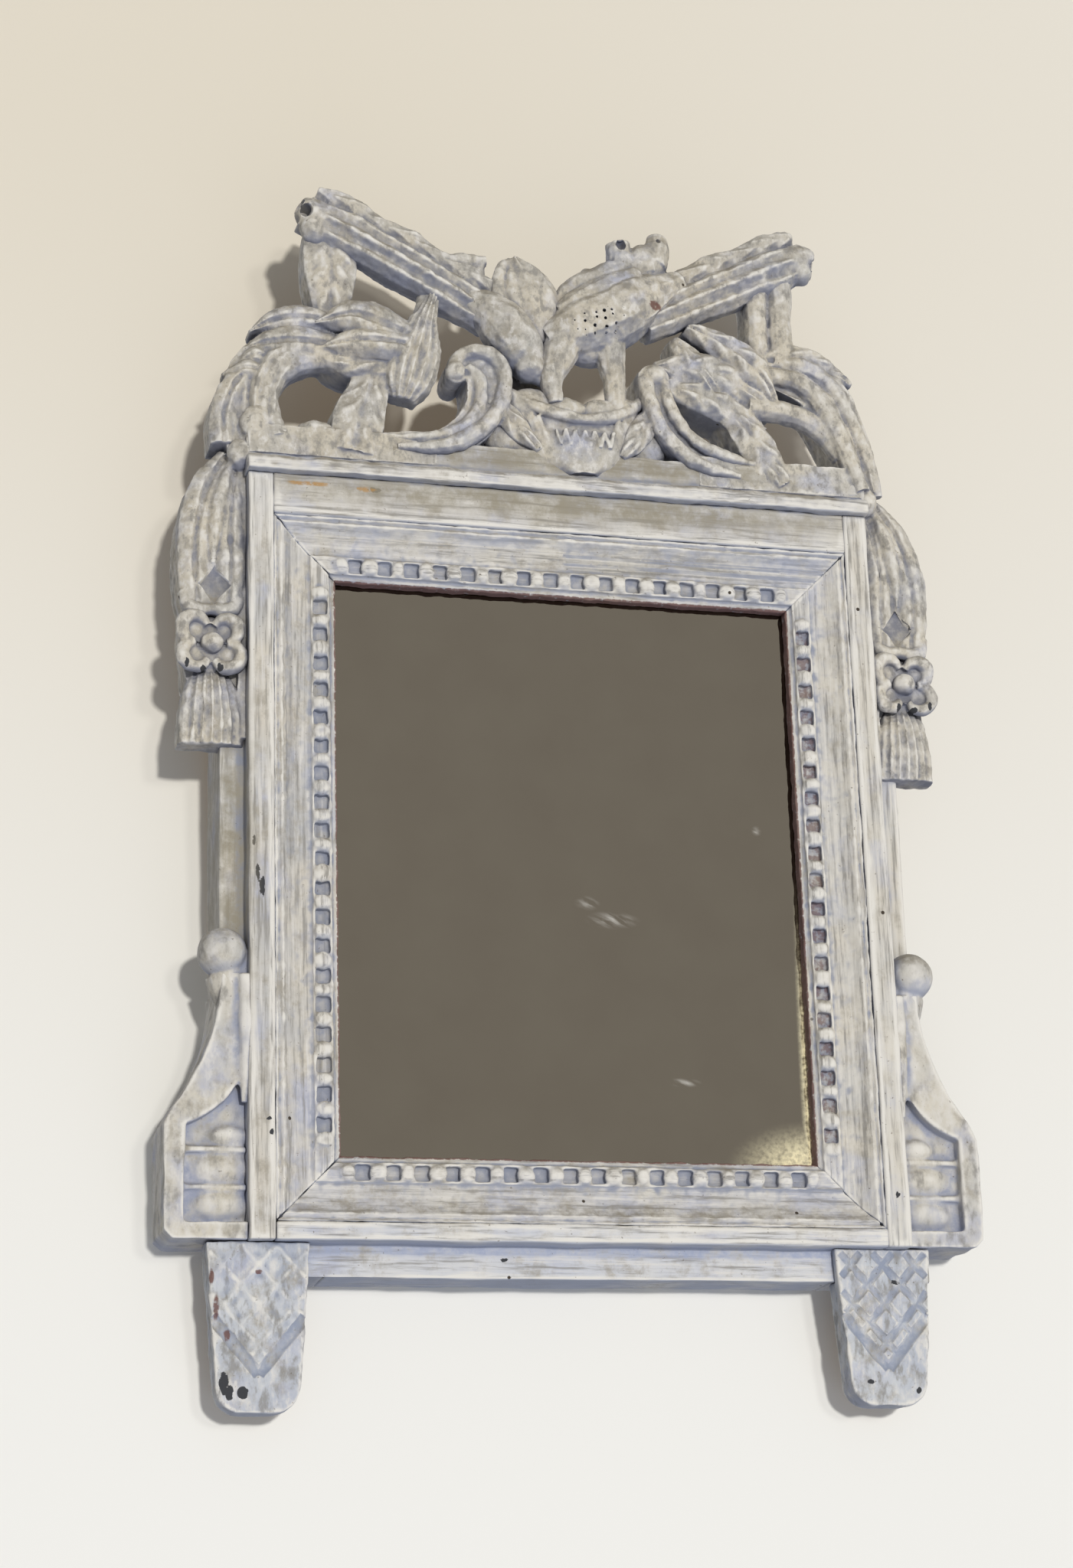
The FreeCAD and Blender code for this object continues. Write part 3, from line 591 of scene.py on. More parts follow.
paint_across = chalk_paint(
    "distemper brushed across", brush=(40, 3, 2.1), warm="#d2cec5", cool="#c8c7c8",
    wash_and_shade_tone="#9297a6", underside_wash_and_shade="#a4aaba", corner_shade=0.5, right_light=0.6)
paint_upright = chalk_paint(
    "distemper brushed upright", brush=(2.1, 3, 40), warm="#d2ccc0", cool="#c0bfbd",
    wash_and_shade_tone="#9297a6", underside_wash_and_shade="#a4aaba", corner_shade=0.5, right_light=0.6)
paint_low = chalk_paint(
    "bluish distemper brushed across", brush=(40, 3, 2.1), warm="#d6d6d6", cool="#c9ccd4",
    wash_and_shade_tone="#a2aac0", underside_wash_and_shade="#a8b0c4", corner_shade=0.2, right_light=0.0)
paint_carving = chalk_paint(
    "distemper on carving", brush=(5, 5, 7), warm="#cfc7b6", cool="#b8b5ae",
    wash_and_shade_tone="#7f8088", underside_wash_and_shade="#7f8497", corner_shade=0.9, right_light=0.3)
paint_plain = chalk_paint(
    "distemper brushed smooth", brush=(9, 9, 17), warm="#d3cdbf", cool="#c3c1bc",
    wash_and_shade_tone="#969cb0", underside_wash_and_shade="#a8aec0", corner_shade=0.5, right_light=0.2)
paint_feet = chalk_paint(
    "bluish distemper on the feet", brush=(5, 5, 12), warm="#cccfd3", cool="#b9bec8",
    wash_and_shade_tone="#949cae", underside_wash_and_shade="#a4aaba", corner_shade=0.5, right_light=0.0)
print("paints:", paint_across.name, "/", paint_upright.name, "/", paint_carving.name)

# %% [markdown]
# ## The joined frame
# Two stiles and two rails meet in pegged tenons. They are straight planed wood, so the CAD solids have
# the right form. A copy is melted with a coarse cell, which rounds the corners as years of paint and
# handling do, and its faces are given a slight waver.

# %% Stiles and rails
chips = {
    "left_stile": [(-148, -300, 1.6, 1.2), (-147, -306, 1, 2), (-153, -185, 1.3, 5), (-151, -192, 1.4, 6),
                   (-155, -170, 1, 3)],
    "right_stile": [(151, -330, 1.2, 2)],
    "top_rail": [(-96, 9, 4, 1.6)],
    "bottom_rail": [(-38, -361, 2.4, 1)],
}
# Dust on the top rail; on the left stile's outer side the same mark is painted shade.
dust_and_side_shade_spots = {"top_rail": [(0, 9, 165, 8)], "left_stile": [(-163, -175, 8, 90)]}
for member in ("left_stile", "right_stile", "top_rail", "bottom_rail"):
    piece = melted("painted_" + member, [copy_of(member)], voxel=1.4, soften=2)
    wavering(piece, (28, 1.5))
    mark_hollows(piece, rounds=8, depth=0.5)
    mark_spots(piece, "chipped", chips[member])
    mark_spots(piece, "dust_and_side_shade", dust_and_side_shade_spots.get(member, []))
    mark_spots(piece, "stained", [(-128, 10, 18, 2.4), (-100, 9, 9, 2.4)] if member == "top_rail" else [])
    paint = paint_low if member == "bottom_rail" else paint_across
    finished(piece, paint_upright if "stile" in member else paint, "painted_wood", member)

# %% [markdown]
# ## The inner moulding
# Four mitred lengths frame the plate: a thin lip, a band of beads between small pockets, a cove and a
# groove. The beads in the CAD solid are plain lands, so a low lump is melted onto each of them. The
# lip's edge has lost its paint down to the red ground below.

# %% Beaded lengths
SIGHT_X = 114.0
SIGHT_TOP = -37.0
SIGHT_LOW = -315.0
BEAD_PITCH = 13.9
BEAD_OUT = 7.8
BEAD_DEPTH = 41.6
BEAD_HALF = 3.9
BEAD_VARY = 0.6
BEAD_RISE = 2.9
BEAD_TALL = 4.6
BAND_FACE = 40.8
LIP_WEAR = 1.4
middle_z = (SIGHT_TOP + SIGHT_LOW) / 2
sight_tall = SIGHT_TOP - SIGHT_LOW
lengths = {
    "top_moulding": (2 * SIGHT_X, (0, SIGHT_TOP), (1, 0), (0, 1)),
    "bottom_moulding": (2 * SIGHT_X, (0, SIGHT_LOW), (1, 0), (0, -1)),
    "left_moulding": (sight_tall, (-SIGHT_X, middle_z), (0, 1), (-1, 0)),
    "right_moulding": (sight_tall, (SIGHT_X, middle_z), (0, 1), (1, 0)),
}
for member, (length, start, along, out) in lengths.items():
    parts = [copy_of(member)]
    pockets = int(length // BEAD_PITCH)
    for k in range(pockets + 1):
        run = (k - pockets / 2) * BEAD_PITCH
        x = start[0] + along[0] * run + out[0] * BEAD_OUT
        z = start[1] + along[1] * run + out[1] * BEAD_OUT
        wide = BEAD_HALF + BEAD_VARY * np.sin(2.3 * k)
        size = (wide, BEAD_RISE, BEAD_TALL) if along[0] else (BEAD_TALL, BEAD_RISE, wide)
        parts.append(lump(spot(x, BEAD_DEPTH, z), size))
    piece = melted("painted_" + member, parts, voxel=0.75, soften=6)
    wavering(piece, (7, 1.5))
    mark_hollows(piece, rounds=14, depth=0.7)
    points = points_of(piece) / MM
    inside = np.maximum(np.abs(points[:, 0]) - SIGHT_X, np.abs(points[:, 2] - middle_z) - sight_tall / 2)
    bole = np.clip(1.3 - inside / LIP_WEAR, 0, 1)
    if member == "right_moulding":
        pocket = (inside > 3.5) & (inside < 12) & (points[:, 1] > WALL - BAND_FACE)
        bole = np.maximum(bole, 0.62 * pocket)
    stored(piece, "bole", bole)
    finished(piece, paint_across if along[0] else paint_upright, "painted_wood", member)

# %% [markdown]
# ## The cornice
# The crest stands on a straight board with a projecting lip. The CAD copy only needs its edges softened.

# %% Cornice board
piece = melted("painted_cornice", [copy_of("cornice_board")], voxel=1.1, soften=3)
wavering(piece, (16, 2.0), (5, 0.7))
mark_hollows(piece, rounds=12, depth=0.8)
mark_spots(piece, "dust_and_side_shade", [(0, 32, 170, 7)])
finished(piece, paint_across, "painted_wood", "cornice_board")

# %% [markdown]
# ## Quivers
# Two quivers lie crossed behind the doves, each with a torch along its upper side. A quiver is a thick
# rope with ridges along it and a hollow at its mouth, and the torch is a thinner rope bound with ribbon.

# %% Shared form of the quivers
def beside(start, end, share, aside):
    """Point at a share of the way from start to end, moved aside to the upper side."""
    x = start[0] + (end[0] - start[0]) * share
    up = start[1] + (end[1] - start[1]) * share
    across, rise = end[0] - start[0], end[1] - start[1]
    length = np.hypot(across, rise)
    lift = 1 if across > 0 else -1
    return x - rise / length * aside * lift, up + across / length * aside * lift


def quiver(mouth, inner):
    def along(aside, *depths):
        last = len(depths) - 1
        return [(*beside(mouth, inner, k / last, aside), depth) for k, depth in enumerate(depths)]

    parts = [
        crest_leaf(along(0, 35, 39, 40, 40, 40, 39, 38), (9, 12, 11.3, 11, 10.8, 10.5, 9.5),
                   back=33, crown=5, groove=0, ribs=3, rib=1.5),
        crest_leaf(along(14.5, 33, 37, 36, 37.5, 36, 37, 36), (4.5, 6.4, 5.4, 6.4, 5.4, 6, 5.5),
                   crown=4, groove=0, veins=7, vein=0.9),
        stem(along(0, 33, 33, 33), (10, 11.2, 9.5)),
    ]
    for end, radius in ((0.02, 7.5), (0.06, 9.5)):
        parts.append(lump(on_crest(*beside(mouth, inner, end, 0), 36), (radius, 8, radius)))
    return parts


def mouth_hollow(mouth, inner, aside):
    points = [(*beside(mouth, inner, share, aside), 38) for share in (-0.05, 0.02, 0.07)]
    return stem(points, (4.4, 3.6, 1.5))


print("quivers share one form")

# %% [markdown]
# ### The left quiver
# Its mouth is at the upper left and its lower end goes behind the left dove. A ribbon's end stands up from
# it, made of two short ropes, and two cutters hollow the mouth.

# %% Left quiver
LEFT_MOUTH = (-126.5, 124.5)
LEFT_INNER = (-33.0, 75.0)
parts = quiver(LEFT_MOUTH, LEFT_INNER)
parts.append(lump(on_crest(-123, 114, 37), (6, 7, 8), -20))
parts.append(stem([(-58, 103, 34), (-46, 105, 35), (-33.5, 107, 34)], (4.5, 4.4, 2.8)))
parts.append(stem([(-36, 106, 34), (-38, 100, 34), (-42, 90, 34)], (2.6, 4.4, 6)))
carved("carved_left_quiver", parts, ["left_quiver"],
       [mouth_hollow(LEFT_MOUTH, LEFT_INNER, 0), lump(on_crest(-127, 122, 44), (3.4, 7, 3.6))])

# %% [markdown]
# ### The right quiver
# It leans the other way and comes out from behind the right dove's tail. The shared form does nearly all of
# it, and one lump thickens the rim of its mouth.

# %% Right quiver
RIGHT_MOUTH = (137.0, 124.5)
RIGHT_INNER = (47.0, 79.0)
parts = quiver(RIGHT_MOUTH, RIGHT_INNER)
parts.append(lump(on_crest(134, 116, 37), (6, 7, 7)))
carved("carved_right_quiver", parts, ["right_quiver"], [mouth_hollow(RIGHT_MOUTH, RIGHT_INNER, -4)])

# %% [markdown]
# ## Doves
# The left dove bends down with a wing raised like a fan. The right one leans over the nest on short
# legs, and a broken stub stands where its tail was. Feathers are long ribs in a leaf form.

# %% Left dove
parts = [
    stem([(-44, 83, 35), (-31, 74, 39), (-22, 62, 40), (-16, 50, 40), (-13, 41, 39)], (8, 12, 13.5, 11, 6)),
    leaf([(-8, 98, 38), (-11, 115, 41), (-15, 132, 40), (-20, 146.5, 35)], (12, 15, 13.5, 3), 24,
         crown=5, groove=0, ribs=3, rib=0.8),
    stem([(-27, 70, 39), (-29, 88, 40), (-27, 101, 39), (-21, 108, 36)], (5, 3.6, 3.0, 2.2)),
    lump(on_crest(-15, 47, 43), (8.5, 8, 9)),
    stem([(-14, 44, 42), (-8, 40, 42), (-3, 36, 41)], (5, 3.6, 2)),
    slab(-26, 2, 20, 26, CORNICE_TOP + 34, CORNICE_TOP + 72),
]
carved("carved_left_dove", parts, ["left_dove"])

# %% [markdown]
# ### The right dove
# Ropes give the body, the back and the legs, and a leaf form gives the wing. The breast has rows of small
# pits. Each pit is a thin lump, and all of them cut at once, because one boolean is much quicker than
# twenty.

# %% Right dove
parts = [
    stem([(-4, 62, 36), (8, 68, 38), (26, 77, 38), (46, 91, 37), (68, 103, 36)], (11, 15, 17.5, 14.5, 8)),
    stem([(0, 78, 35), (11, 94, 37), (24, 100, 37), (37, 106, 36), (52, 110, 36)], (6, 6, 8, 9, 9)),
    leaf([(8, 104, 45), (28, 114, 48), (48, 127, 46), (68, 140, 41)], (4, 10, 9, 2), 34,
         crown=2, groove=0, ribs=4, rib=1.1),
    stem([(6, 66, 39), (-1, 51, 42), (-4, 40, 44), (-2, 27, 44)], (11, 9, 6.5, 4)),
    stem([(27, 66, 38), (29, 49, 41), (30, 24, 42)], (10, 6.6, 5)),
    stem([(4, 76, 38), (22, 89, 40), (44, 102, 38)], (9, 10, 9)),
    lump(on_crest(17, 62, 37), (13, 9, 10)),
    lump(on_crest(19, 104, 36), (3.2, 4, 4)),
    lump(on_crest(38, 110, 36), (8, 9, 10)),
    lump(on_crest(50, 113, 36), (11, 9, 11)),
    stem([(37, 110, 36), (36, 123, 36)], (7.5, 6.4)),
    stem([(53, 112, 36), (56.5, 122, 36), (57.5, 128.5, 35)], (9, 7, 5)),
]
pits = []
for row in range(4):
    for k in range(6 - row % 2):
        x = 3 + 5 * k + 2.5 * (row % 2) + 2.2 * row
        up = 60 + 4.5 * row + 1.2 * k + 0.8 * np.sin(3.1 * k + row)
        pits.append(lump(on_crest(x + 0.8 * np.sin(1.7 * k + 2 * row), up, 54), (0.55, 3.4, 0.6)))
tools = [joined("pits", pits), lump(on_crest(36, 120, 45), (2.8, 8, 3.4)),
         lump(on_crest(56, 124, 43), (1.4, 4, 1.8))]
piece = carved("carved_right_dove", parts, ["right_dove"], tools)
mark_spots(piece, "bole", [(51, CORNICE_TOP + 84, 4.5, 2.4)])

# %% [markdown]
# ## Nest and scrolls
# The nest is a small basket with a rolled rim, a zigzag band and eggs. A C-scroll rises on each side of
# it: the CAD plate gives the outline, and two ropes along it make the grooved band.

# %% Nest
parts = [
    leaf([(9, 67, 34), (9, 54, 40), (9.5, 40, 43), (10, 25, 45)], (35, 36, 33, 9), 20, crown=7, groove=0),
    stem([(-28, 34, 40), (-12, 24, 45.5), (8, 18, 48), (28, 22, 45.5),
          (44, 33, 40)], (3.4, 3.4, 3.2, 3.4, 3.4)),
    lump(on_crest(-15, 27, 40), (12, 7, 9)), lump(on_crest(4, 23, 41), (12, 7, 9)),
    lump(on_crest(22, 24, 41), (11, 7, 8)), lump(on_crest(34, 28, 39), (8, 7, 7)),
    lump(on_crest(-23, 9, 37), (15, 8, 14)), lump(on_crest(42, 8, 37), (14, 8, 13)),
]
for k in range(6):
    x = -4 + 5.0 * k
    parts.append(stem([(x, 11.5, 49.3), (x + 2.5, 2.5, 49.6)], (1.1, 1.1)))
    parts.append(stem([(x + 5.0, 11.5, 49.3), (x + 2.5, 2.5, 49.6)], (1.1, 1.1)))
for side in (-1, 1):
    for k in range(4):
        x = 9 + side * (21 + 3.4 * k)
        parts.append(stem([(x, 19 + 2.5 * k, 45.5 - 1.5 * k), (x - side * 4, 7 + 4 * k, 46.5 - 1.5 * k),
                           (x - side * 9, -5 + 5 * k, 46.5 - 1.5 * k)], (1.4, 2.4, 1.4)))
carved("carved_nest", parts, ["nest_basket"])

# %% [markdown]
# ### The scrolls
# Each C-scroll is a plate with two ribs along it and a small leaf at its back. Copies of the CAD plates are
# melted with ropes that follow them, since a rope keeps the groove between the two ribs clean.

# %% Scrolls
parts = [
    copy_of("left_scroll"),
    stem([(-55, 40, 42), (-50, 48.5, 44), (-41, 51.5, 45), (-32, 47, 45.5),
          (-28.5, 37, 45.5), (-31, 24, 46), (-38, 12, 47), (-49, 3, 48),
          (-63, -3, 48.5), (-84, -4, 47)], (3, 3.8, 4, 4.2, 4.2, 4.4, 4.4, 4.2, 3.8, 2)),
    stem([(-47, 43, 43), (-42, 38, 44), (-40.5, 28, 45), (-44, 16, 45.5),
          (-53, 8, 46), (-66, 3, 47), (-86, 1, 46)], (3.4, 3.8, 3.8, 3.8, 3.6, 3.2, 1.6)),
    lump(on_crest(-53, 40, 43), (5, 6, 5.5)),
    crest_leaf([(-33, 30, 40), (-28, 20, 44), (-21, 10, 46), (-12, 0, 47)], (2, 6, 6, 2), veins=3),
]
carved("carved_left_scroll", parts, ["left_scroll"])

parts = [
    copy_of("right_scroll"),
    stem([(45, 45, 43), (46.5, 33, 45), (51, 19, 46), (59, 7, 47),
          (71, -2, 48), (92, -6, 47)], (4, 4.2, 4.2, 4, 3.6, 1.8)),
    stem([(55, 44, 43), (56.5, 32, 45), (62, 20, 46), (72, 10, 46.5),
          (86, 4, 47), (106, 1, 46)], (3.4, 3.6, 3.6, 3.4, 3, 1.6)),
    lump(on_crest(50, 47, 42), (7, 7, 6)),
    crest_leaf([(48, 30, 40), (44, 20, 44), (38, 9, 46), (30, -1, 47)], (2, 6, 6, 2), veins=3),
]
carved("carved_right_scroll", parts, ["right_scroll"])

# %% [markdown]
# ## Leaf sprays
# Laurel and acanthus fill the corners between quiver, scroll and cornice, with daylight between them.
# Each leaf follows its own path; ropes make the fluted ribs and the bands round the openings.

# %% Left spray
parts = [
    crest_leaf([(-114, 116, 34), (-114, 101, 37), (-114, 86, 37), (-115, 66, 35)], (12, 13.5, 12, 7),
               crown=3.5, groove=1.6, veins=4),
    crest_leaf([(-104, 62, 35), (-127, 64.5, 37), (-142, 62.5, 35), (-154, 57.5, 30)], (6, 8, 7.2, 1),
               crown=5, groove=2),
    crest_leaf([(-104, 49, 38), (-127, 50, 40), (-145, 49, 38), (-158, 46, 32)], (6.5, 9, 7.8, 1), crown=5,
               groove=2),
    crest_leaf([(-68, 54, 41), (-90, 60, 46), (-106, 64, 45), (-123, 61, 38)], (6, 11, 9.5, 1), crown=5.5,
               groove=2.4),
    crest_leaf([(-68, 50, 43), (-90, 50, 48), (-105, 49.5, 47), (-120, 47.5, 40)], (6, 8.6, 7.6, 1),
               crown=5, groove=2),
    crest_leaf([(-74, 45, 40), (-94, 41, 43), (-108, 40, 42), (-119, 43, 37)], (5, 6.6, 6, 1), crown=4.5,
               veins=3),
    crest_leaf([(-62, 85, 38), (-65.5, 74, 41), (-69, 63, 44), (-72, 52, 46), (-75, 41, 46.5),
                (-77.5, 31, 45), (-79.5, 23, 41)], (4, 5, 8.5, 12, 13, 11.5, 6.5),
               back=34, crown=4, groove=0, ribs=5, rib=1.0),
    crest_leaf([(-148, 50, 34), (-156, 33, 38), (-158, 12, 39), (-157, -10, 41)], (6, 9.5, 10, 9), groove=0,
               ribs=4),
    crest_leaf([(-120, 48, 38), (-139, 40, 42), (-148, 22, 43), (-149, 0, 44)], (5, 8, 7.5, 6), groove=0.8,
               ribs=3),
    crest_leaf([(-92, 44, 40), (-97, 26, 43), (-102, 10, 45), (-105, -9, 47.5)], (8, 10, 13, 10), veins=4,
               groove=1.6),
    stem([(-64, 88, 34), (-68, 74, 38), (-69, 58, 42)], (5, 4.4, 4)),
    stem([(-112, 43, 37), (-130, 41, 38), (-139, 35, 38), (-145, 24, 38), (-145, 10, 40), (-142, -4, 43)],
         (5.5, 6.5, 6.5, 5.5, 5, 6)),
    stem([(-124, 46, 38), (-105, 40, 39), (-86, 39, 39)], (6, 6, 7)),
    crest_leaf([(-144, 41, 36), (-153, 41, 39), (-162, 36, 33)], (4, 5, 1), crown=4),
    crest_leaf([(-144, 31, 38), (-157, 33, 41), (-168, 31, 34)], (5, 5.4, 1), crown=4),
    crest_leaf([(-150, 38, 37), (-162, 26, 40), (-168, 10, 40), (-168, -7, 40)], (5, 6, 6.5, 6), crown=4,
               groove=2.2),
    slab(-157, -64, 20, 47.6, CORNICE_TOP - 13, CORNICE_TOP + 2.5),
    lump(on_crest(-153, 3, 43), (8, 6, 10)), lump(on_crest(-124, 3, 43), (9, 5, 4)),
]
tools = [stem([(-122, 108, 42), (-114, 94, 43), (-107, 79, 41)], (1.1, 1.3, 0.9))]
carved("carved_left_spray", parts, ["left_leaf_spray"], tools)

# %% [markdown]
# ### The right spray
# On this side the leaves hang lower, and two reeds stand between them and the quiver. The openings stay
# open to the wall, as on the left side.

# %% Right spray
parts = [
    stem([(109, 58, 35), (108.5, 84, 36), (110, 112, 35)], (6.5, 5.8, 7)),
    stem([(121, 58, 35), (121, 84, 36), (122, 112, 35)], (7, 6.4, 7.5)),
    slab(104, 127, 20, 33, CORNICE_TOP + 58, CORNICE_TOP + 110),
    crest_leaf([(108, 62, 37), (130, 65.5, 40), (146, 61, 38), (160, 56.5, 33)], (7, 7, 6, 1.5), veins=4),
    crest_leaf([(124, 58, 37), (141, 56, 39), (152, 51, 36), (157, 47.5, 32)], (7, 7, 5, 1.5), veins=3),
    crest_leaf([(112, 58, 37), (138, 48, 41), (152, 24, 41), (160, -9, 42)], (8, 12.5, 11.5, 9), groove=0,
               ribs=4, rib=1.4),
    stem([(116, 63, 38), (138, 58, 40), (150, 42, 41), (159, 22, 41), (164, 4, 41), (167, -9, 40)],
         (4, 4.6, 4.6, 4.4, 4, 3.5)),
    stem([(108, 56, 38), (129, 50, 42), (140, 37, 43), (148, 18, 44), (154, 0, 45), (157, -9, 45)],
         (5, 5.4, 5.8, 5.4, 5, 5)),
    crest_leaf([(70, 78, 37), (86, 68, 43), (102, 55, 45), (116, 38, 39)], (3.5, 8, 9, 1.5), crown=5,
               groove=2.2, veins=4),
    crest_leaf([(52, 53, 38), (72, 52, 44), (92, 47, 43), (115, 34, 38)], (5, 9.5, 9.5, 1.5), crown=4.5,
               veins=4),
    crest_leaf([(52, 44, 38), (70, 40, 43), (88, 33, 41), (110, 25, 36)], (5, 8.5, 8.5, 1.5), crown=4.5,
               veins=4),
    crest_leaf([(64, 72, 36), (68, 62, 42), (74, 50, 46), (84, 38, 43)], (3, 6, 6, 2), groove=1.4, veins=3),
    crest_leaf([(86, 38, 40), (98, 21, 44), (107, 4, 46), (115, -9, 47.5)], (8, 9.5, 9.5, 4), veins=4,
               groove=1.6),
    stem([(100, 36, 39), (122, 34, 39), (138, 27, 40), (149, 12, 41)], (6, 6, 6, 5.5)),
    slab(70, 156, 20, 47.6, CORNICE_TOP - 13, CORNICE_TOP + 3.5),
]
carved("carved_right_spray", parts, ["right_leaf_spray"])

# %% [markdown]
# ## Side drops
# At each upper side hangs a drop: folded strands that part round a small diamond, a flower with a bead
# in its middle, and a fringed tassel. The two sides are mirror images, so one set of paths serves both.

# %% Drops and rosettes
def drop_parts(side):
    def fold(path, widths, back=16, **carving):
        return leaf([(side * x, z, depth) for x, z, depth in path], widths, back, **carving)

    def line(path, radii):
        return rope([spot(side * x, depth, z) for x, z, depth in path], radii)

    web = sorted((side * 156, side * 161))
    return [
        slab(*web, 16, 40, -118, 20),
        lump(spot(side * 160, 41, 25), (6.5, 7, 8)),
        line(((173, -14, 35), (173, -36, 35), (173, -54, 35)), (5, 6.5, 6.5)),
        fold(((166, 27, 34), (176, 8, 38), (181, -14, 40), (182, -34, 40), (180, -54, 38)),
             (4, 8, 8.5, 7.8, 7), crown=4, groove=2.4),
        fold(((161, 25, 34), (163.5, 4, 38), (165, -16, 40), (164.5, -36, 40), (166, -54, 38)),
             (3, 6, 7.4, 7.4, 7), crown=4, groove=2.2),
        fold(((164, 24, 36), (169.5, 4, 41), (172.5, -14, 42), (173.5, -32, 38)), (2.5, 4, 4, 1.5), crown=4,
             groove=0),
        fold(((173.5, -30, 33), (173.5, -60, 33), (173.5, -80, 34), (173.5, -92, 36)), (12, 14, 13, 11),
             crown=1, groove=0),
        line(((187, -46, 38), (183, -55, 40), (173.5, -55, 40), (165, -55, 40), (160, -48, 38)),
             (3, 4, 3.4, 4, 3)),
        fold(((173.5, -84, 35), (173.5, -96, 39), (173.5, -110, 40), (173.5, -121.8, 38)),
             (9, 12.5, 14.5, 15.3), back=27, crown=3, groove=0, ribs=7, rib=1.1),
    ]


def rosette_parts(side):
    x, z = side * 174.0, -72.5
    parts = [lump(spot(x, 36.5, z), (15, 5, 15.5)), lump(spot(x, 43, z), (5.6, 5.4, 5.4))]
    for turn, share in ((40, 0.96), (141, 1.06), (216, 1.0), (324, 1.04)):
        away = radians(turn)
        cx, cz = x + 9.4 * share * np.cos(away), z + 10.2 * share * np.sin(away)
        ring = []
        for swing in (-125, -85, -45, 0, 45, 85, 125):
            bend = radians(turn + swing)
            ring.append(spot(cx + 6 * share * np.cos(bend), 43 - 0.012 * abs(swing),
                             cz + 6.2 * share * np.sin(bend)))
        parts.append(rope(ring, (2.2, 3.0, 3.3, 3.5, 3.3, 3.0, 2.2)))
        parts.append(lump(spot(cx, 38, cz), (7, 4, 7)))
    return parts


for side, word in ((-1, "left"), (1, "right")):
    diamond = [lozenge(spot(side * 172.5, 48, -43), (8, 9, 10))]
    carved("carved_" + word + "_drop", drop_parts(side), [word + "_drop"], diamond)
    piece = carved("carved_" + word + "_rosette", rosette_parts(side), [word + "_rosette"])
    mark_spots(piece, "chipped", [(side * 170, -85, 1.6, 2.4), (side * 178, -86, 1.8, 1.6),
                                  (side * 186, -84, 1.2, 2.4)])

# %% [markdown]
# ## Brackets and balls
# The brackets are thick boards with a sunk panel, and a ball sits on each of them. Copies of the CAD solids
# have the outlines. Lumps swell the bands in the panel, a rope fills the seam beside the stile as paint has
# done, and a short neck and a slab join each ball to what carries it.

# %% Brackets and balls
for side, word in ((-1, "left"), (1, "right")):
    parts = [copy_of(word + "_bracket")]
    for z, across, tall in ((-338, 14, 8.4), (-321.5, 14, 8.8), (-307, 10, 6)):
        parts.append(lump(spot(side * (154.5 + across), 35.5, z), (across, 5.2, tall)))
    joint = [spot(side * 158, depth, z) for z, depth in ((-233, 44), (-255, 44.5), (-280, 43), (-292, 41))]
    parts.append(rope(joint, (3.6, 3.6, 3.2, 2)))
    piece = melted("carved_" + word + "_bracket", parts, voxel=1.0, soften=10)
    wavering(piece, (18, 2.0))
    mark_hollows(piece, rounds=14, depth=0.9)
    finished(piece, paint_plain, "painted_wood", word + "_bracket")
    ball_parts = [copy_of(word + "_ball"), rope(
        [spot(side * 166, 35, -232), spot(side * 164, 36, -243), spot(side * 160, 37, -256)], (9.5, 8, 6))]
    ball_parts.append(slab(side * 157 - 7, side * 157 + 7, 18, 42, -260, -221))
    piece = melted("carved_" + word + "_ball", ball_parts, voxel=0.8, soften=6)
    wavering(piece, (13, 1.2))
    mark_hollows(piece, rounds=14, depth=0.9)
    finished(piece, paint_plain, "painted_wood", word + "_ball")

# %% [markdown]
# ### The feet
# Both feet taper and end in a rounded edge, with a trellis over a V-shaped groove. On the left foot the
# lines of the trellis stand up, so ropes are melted onto it. On the right one they are sunk, so the same
# ropes cut it.

# %% Feet with their trellis
FOOT_X = {"left": -152.0, "right": 144.0}
FOOT_LOW = {"left": -430.0, "right": -427.0}
FOOT_TOP = -354.5
FOOT_FACE = 41.0
FOOT_HALF = 19.5
FLARE = 4.5
FLARE_LOW = -416.0
FLARE_TALL = 62.0
RIB_RISE = 1.12
POINT_RISE = 1.15
POINT_UP = 17


def trellis(middle, apex, rise, start, depth, radius):
    """One line of the trellis, leaning to one side and kept on the foot's face above its point."""
    ends = []
    for step in np.linspace(-24, 24, 49):
        z = start + rise * step
        edge = FOOT_HALF + (z - FLARE_LOW) / FLARE_TALL * FLARE
        if apex + POINT_RISE * abs(step) < z < FOOT_TOP - 1 and abs(step) < edge - 1:
            ends.append((step, z))
    if len(ends) < 4:
        return []
    picks = (ends[0], ends[len(ends) // 2], ends[-1])
    return [rope([spot(middle + u, depth, z) for u, z in picks], (radius, radius * 1.1, radius))]


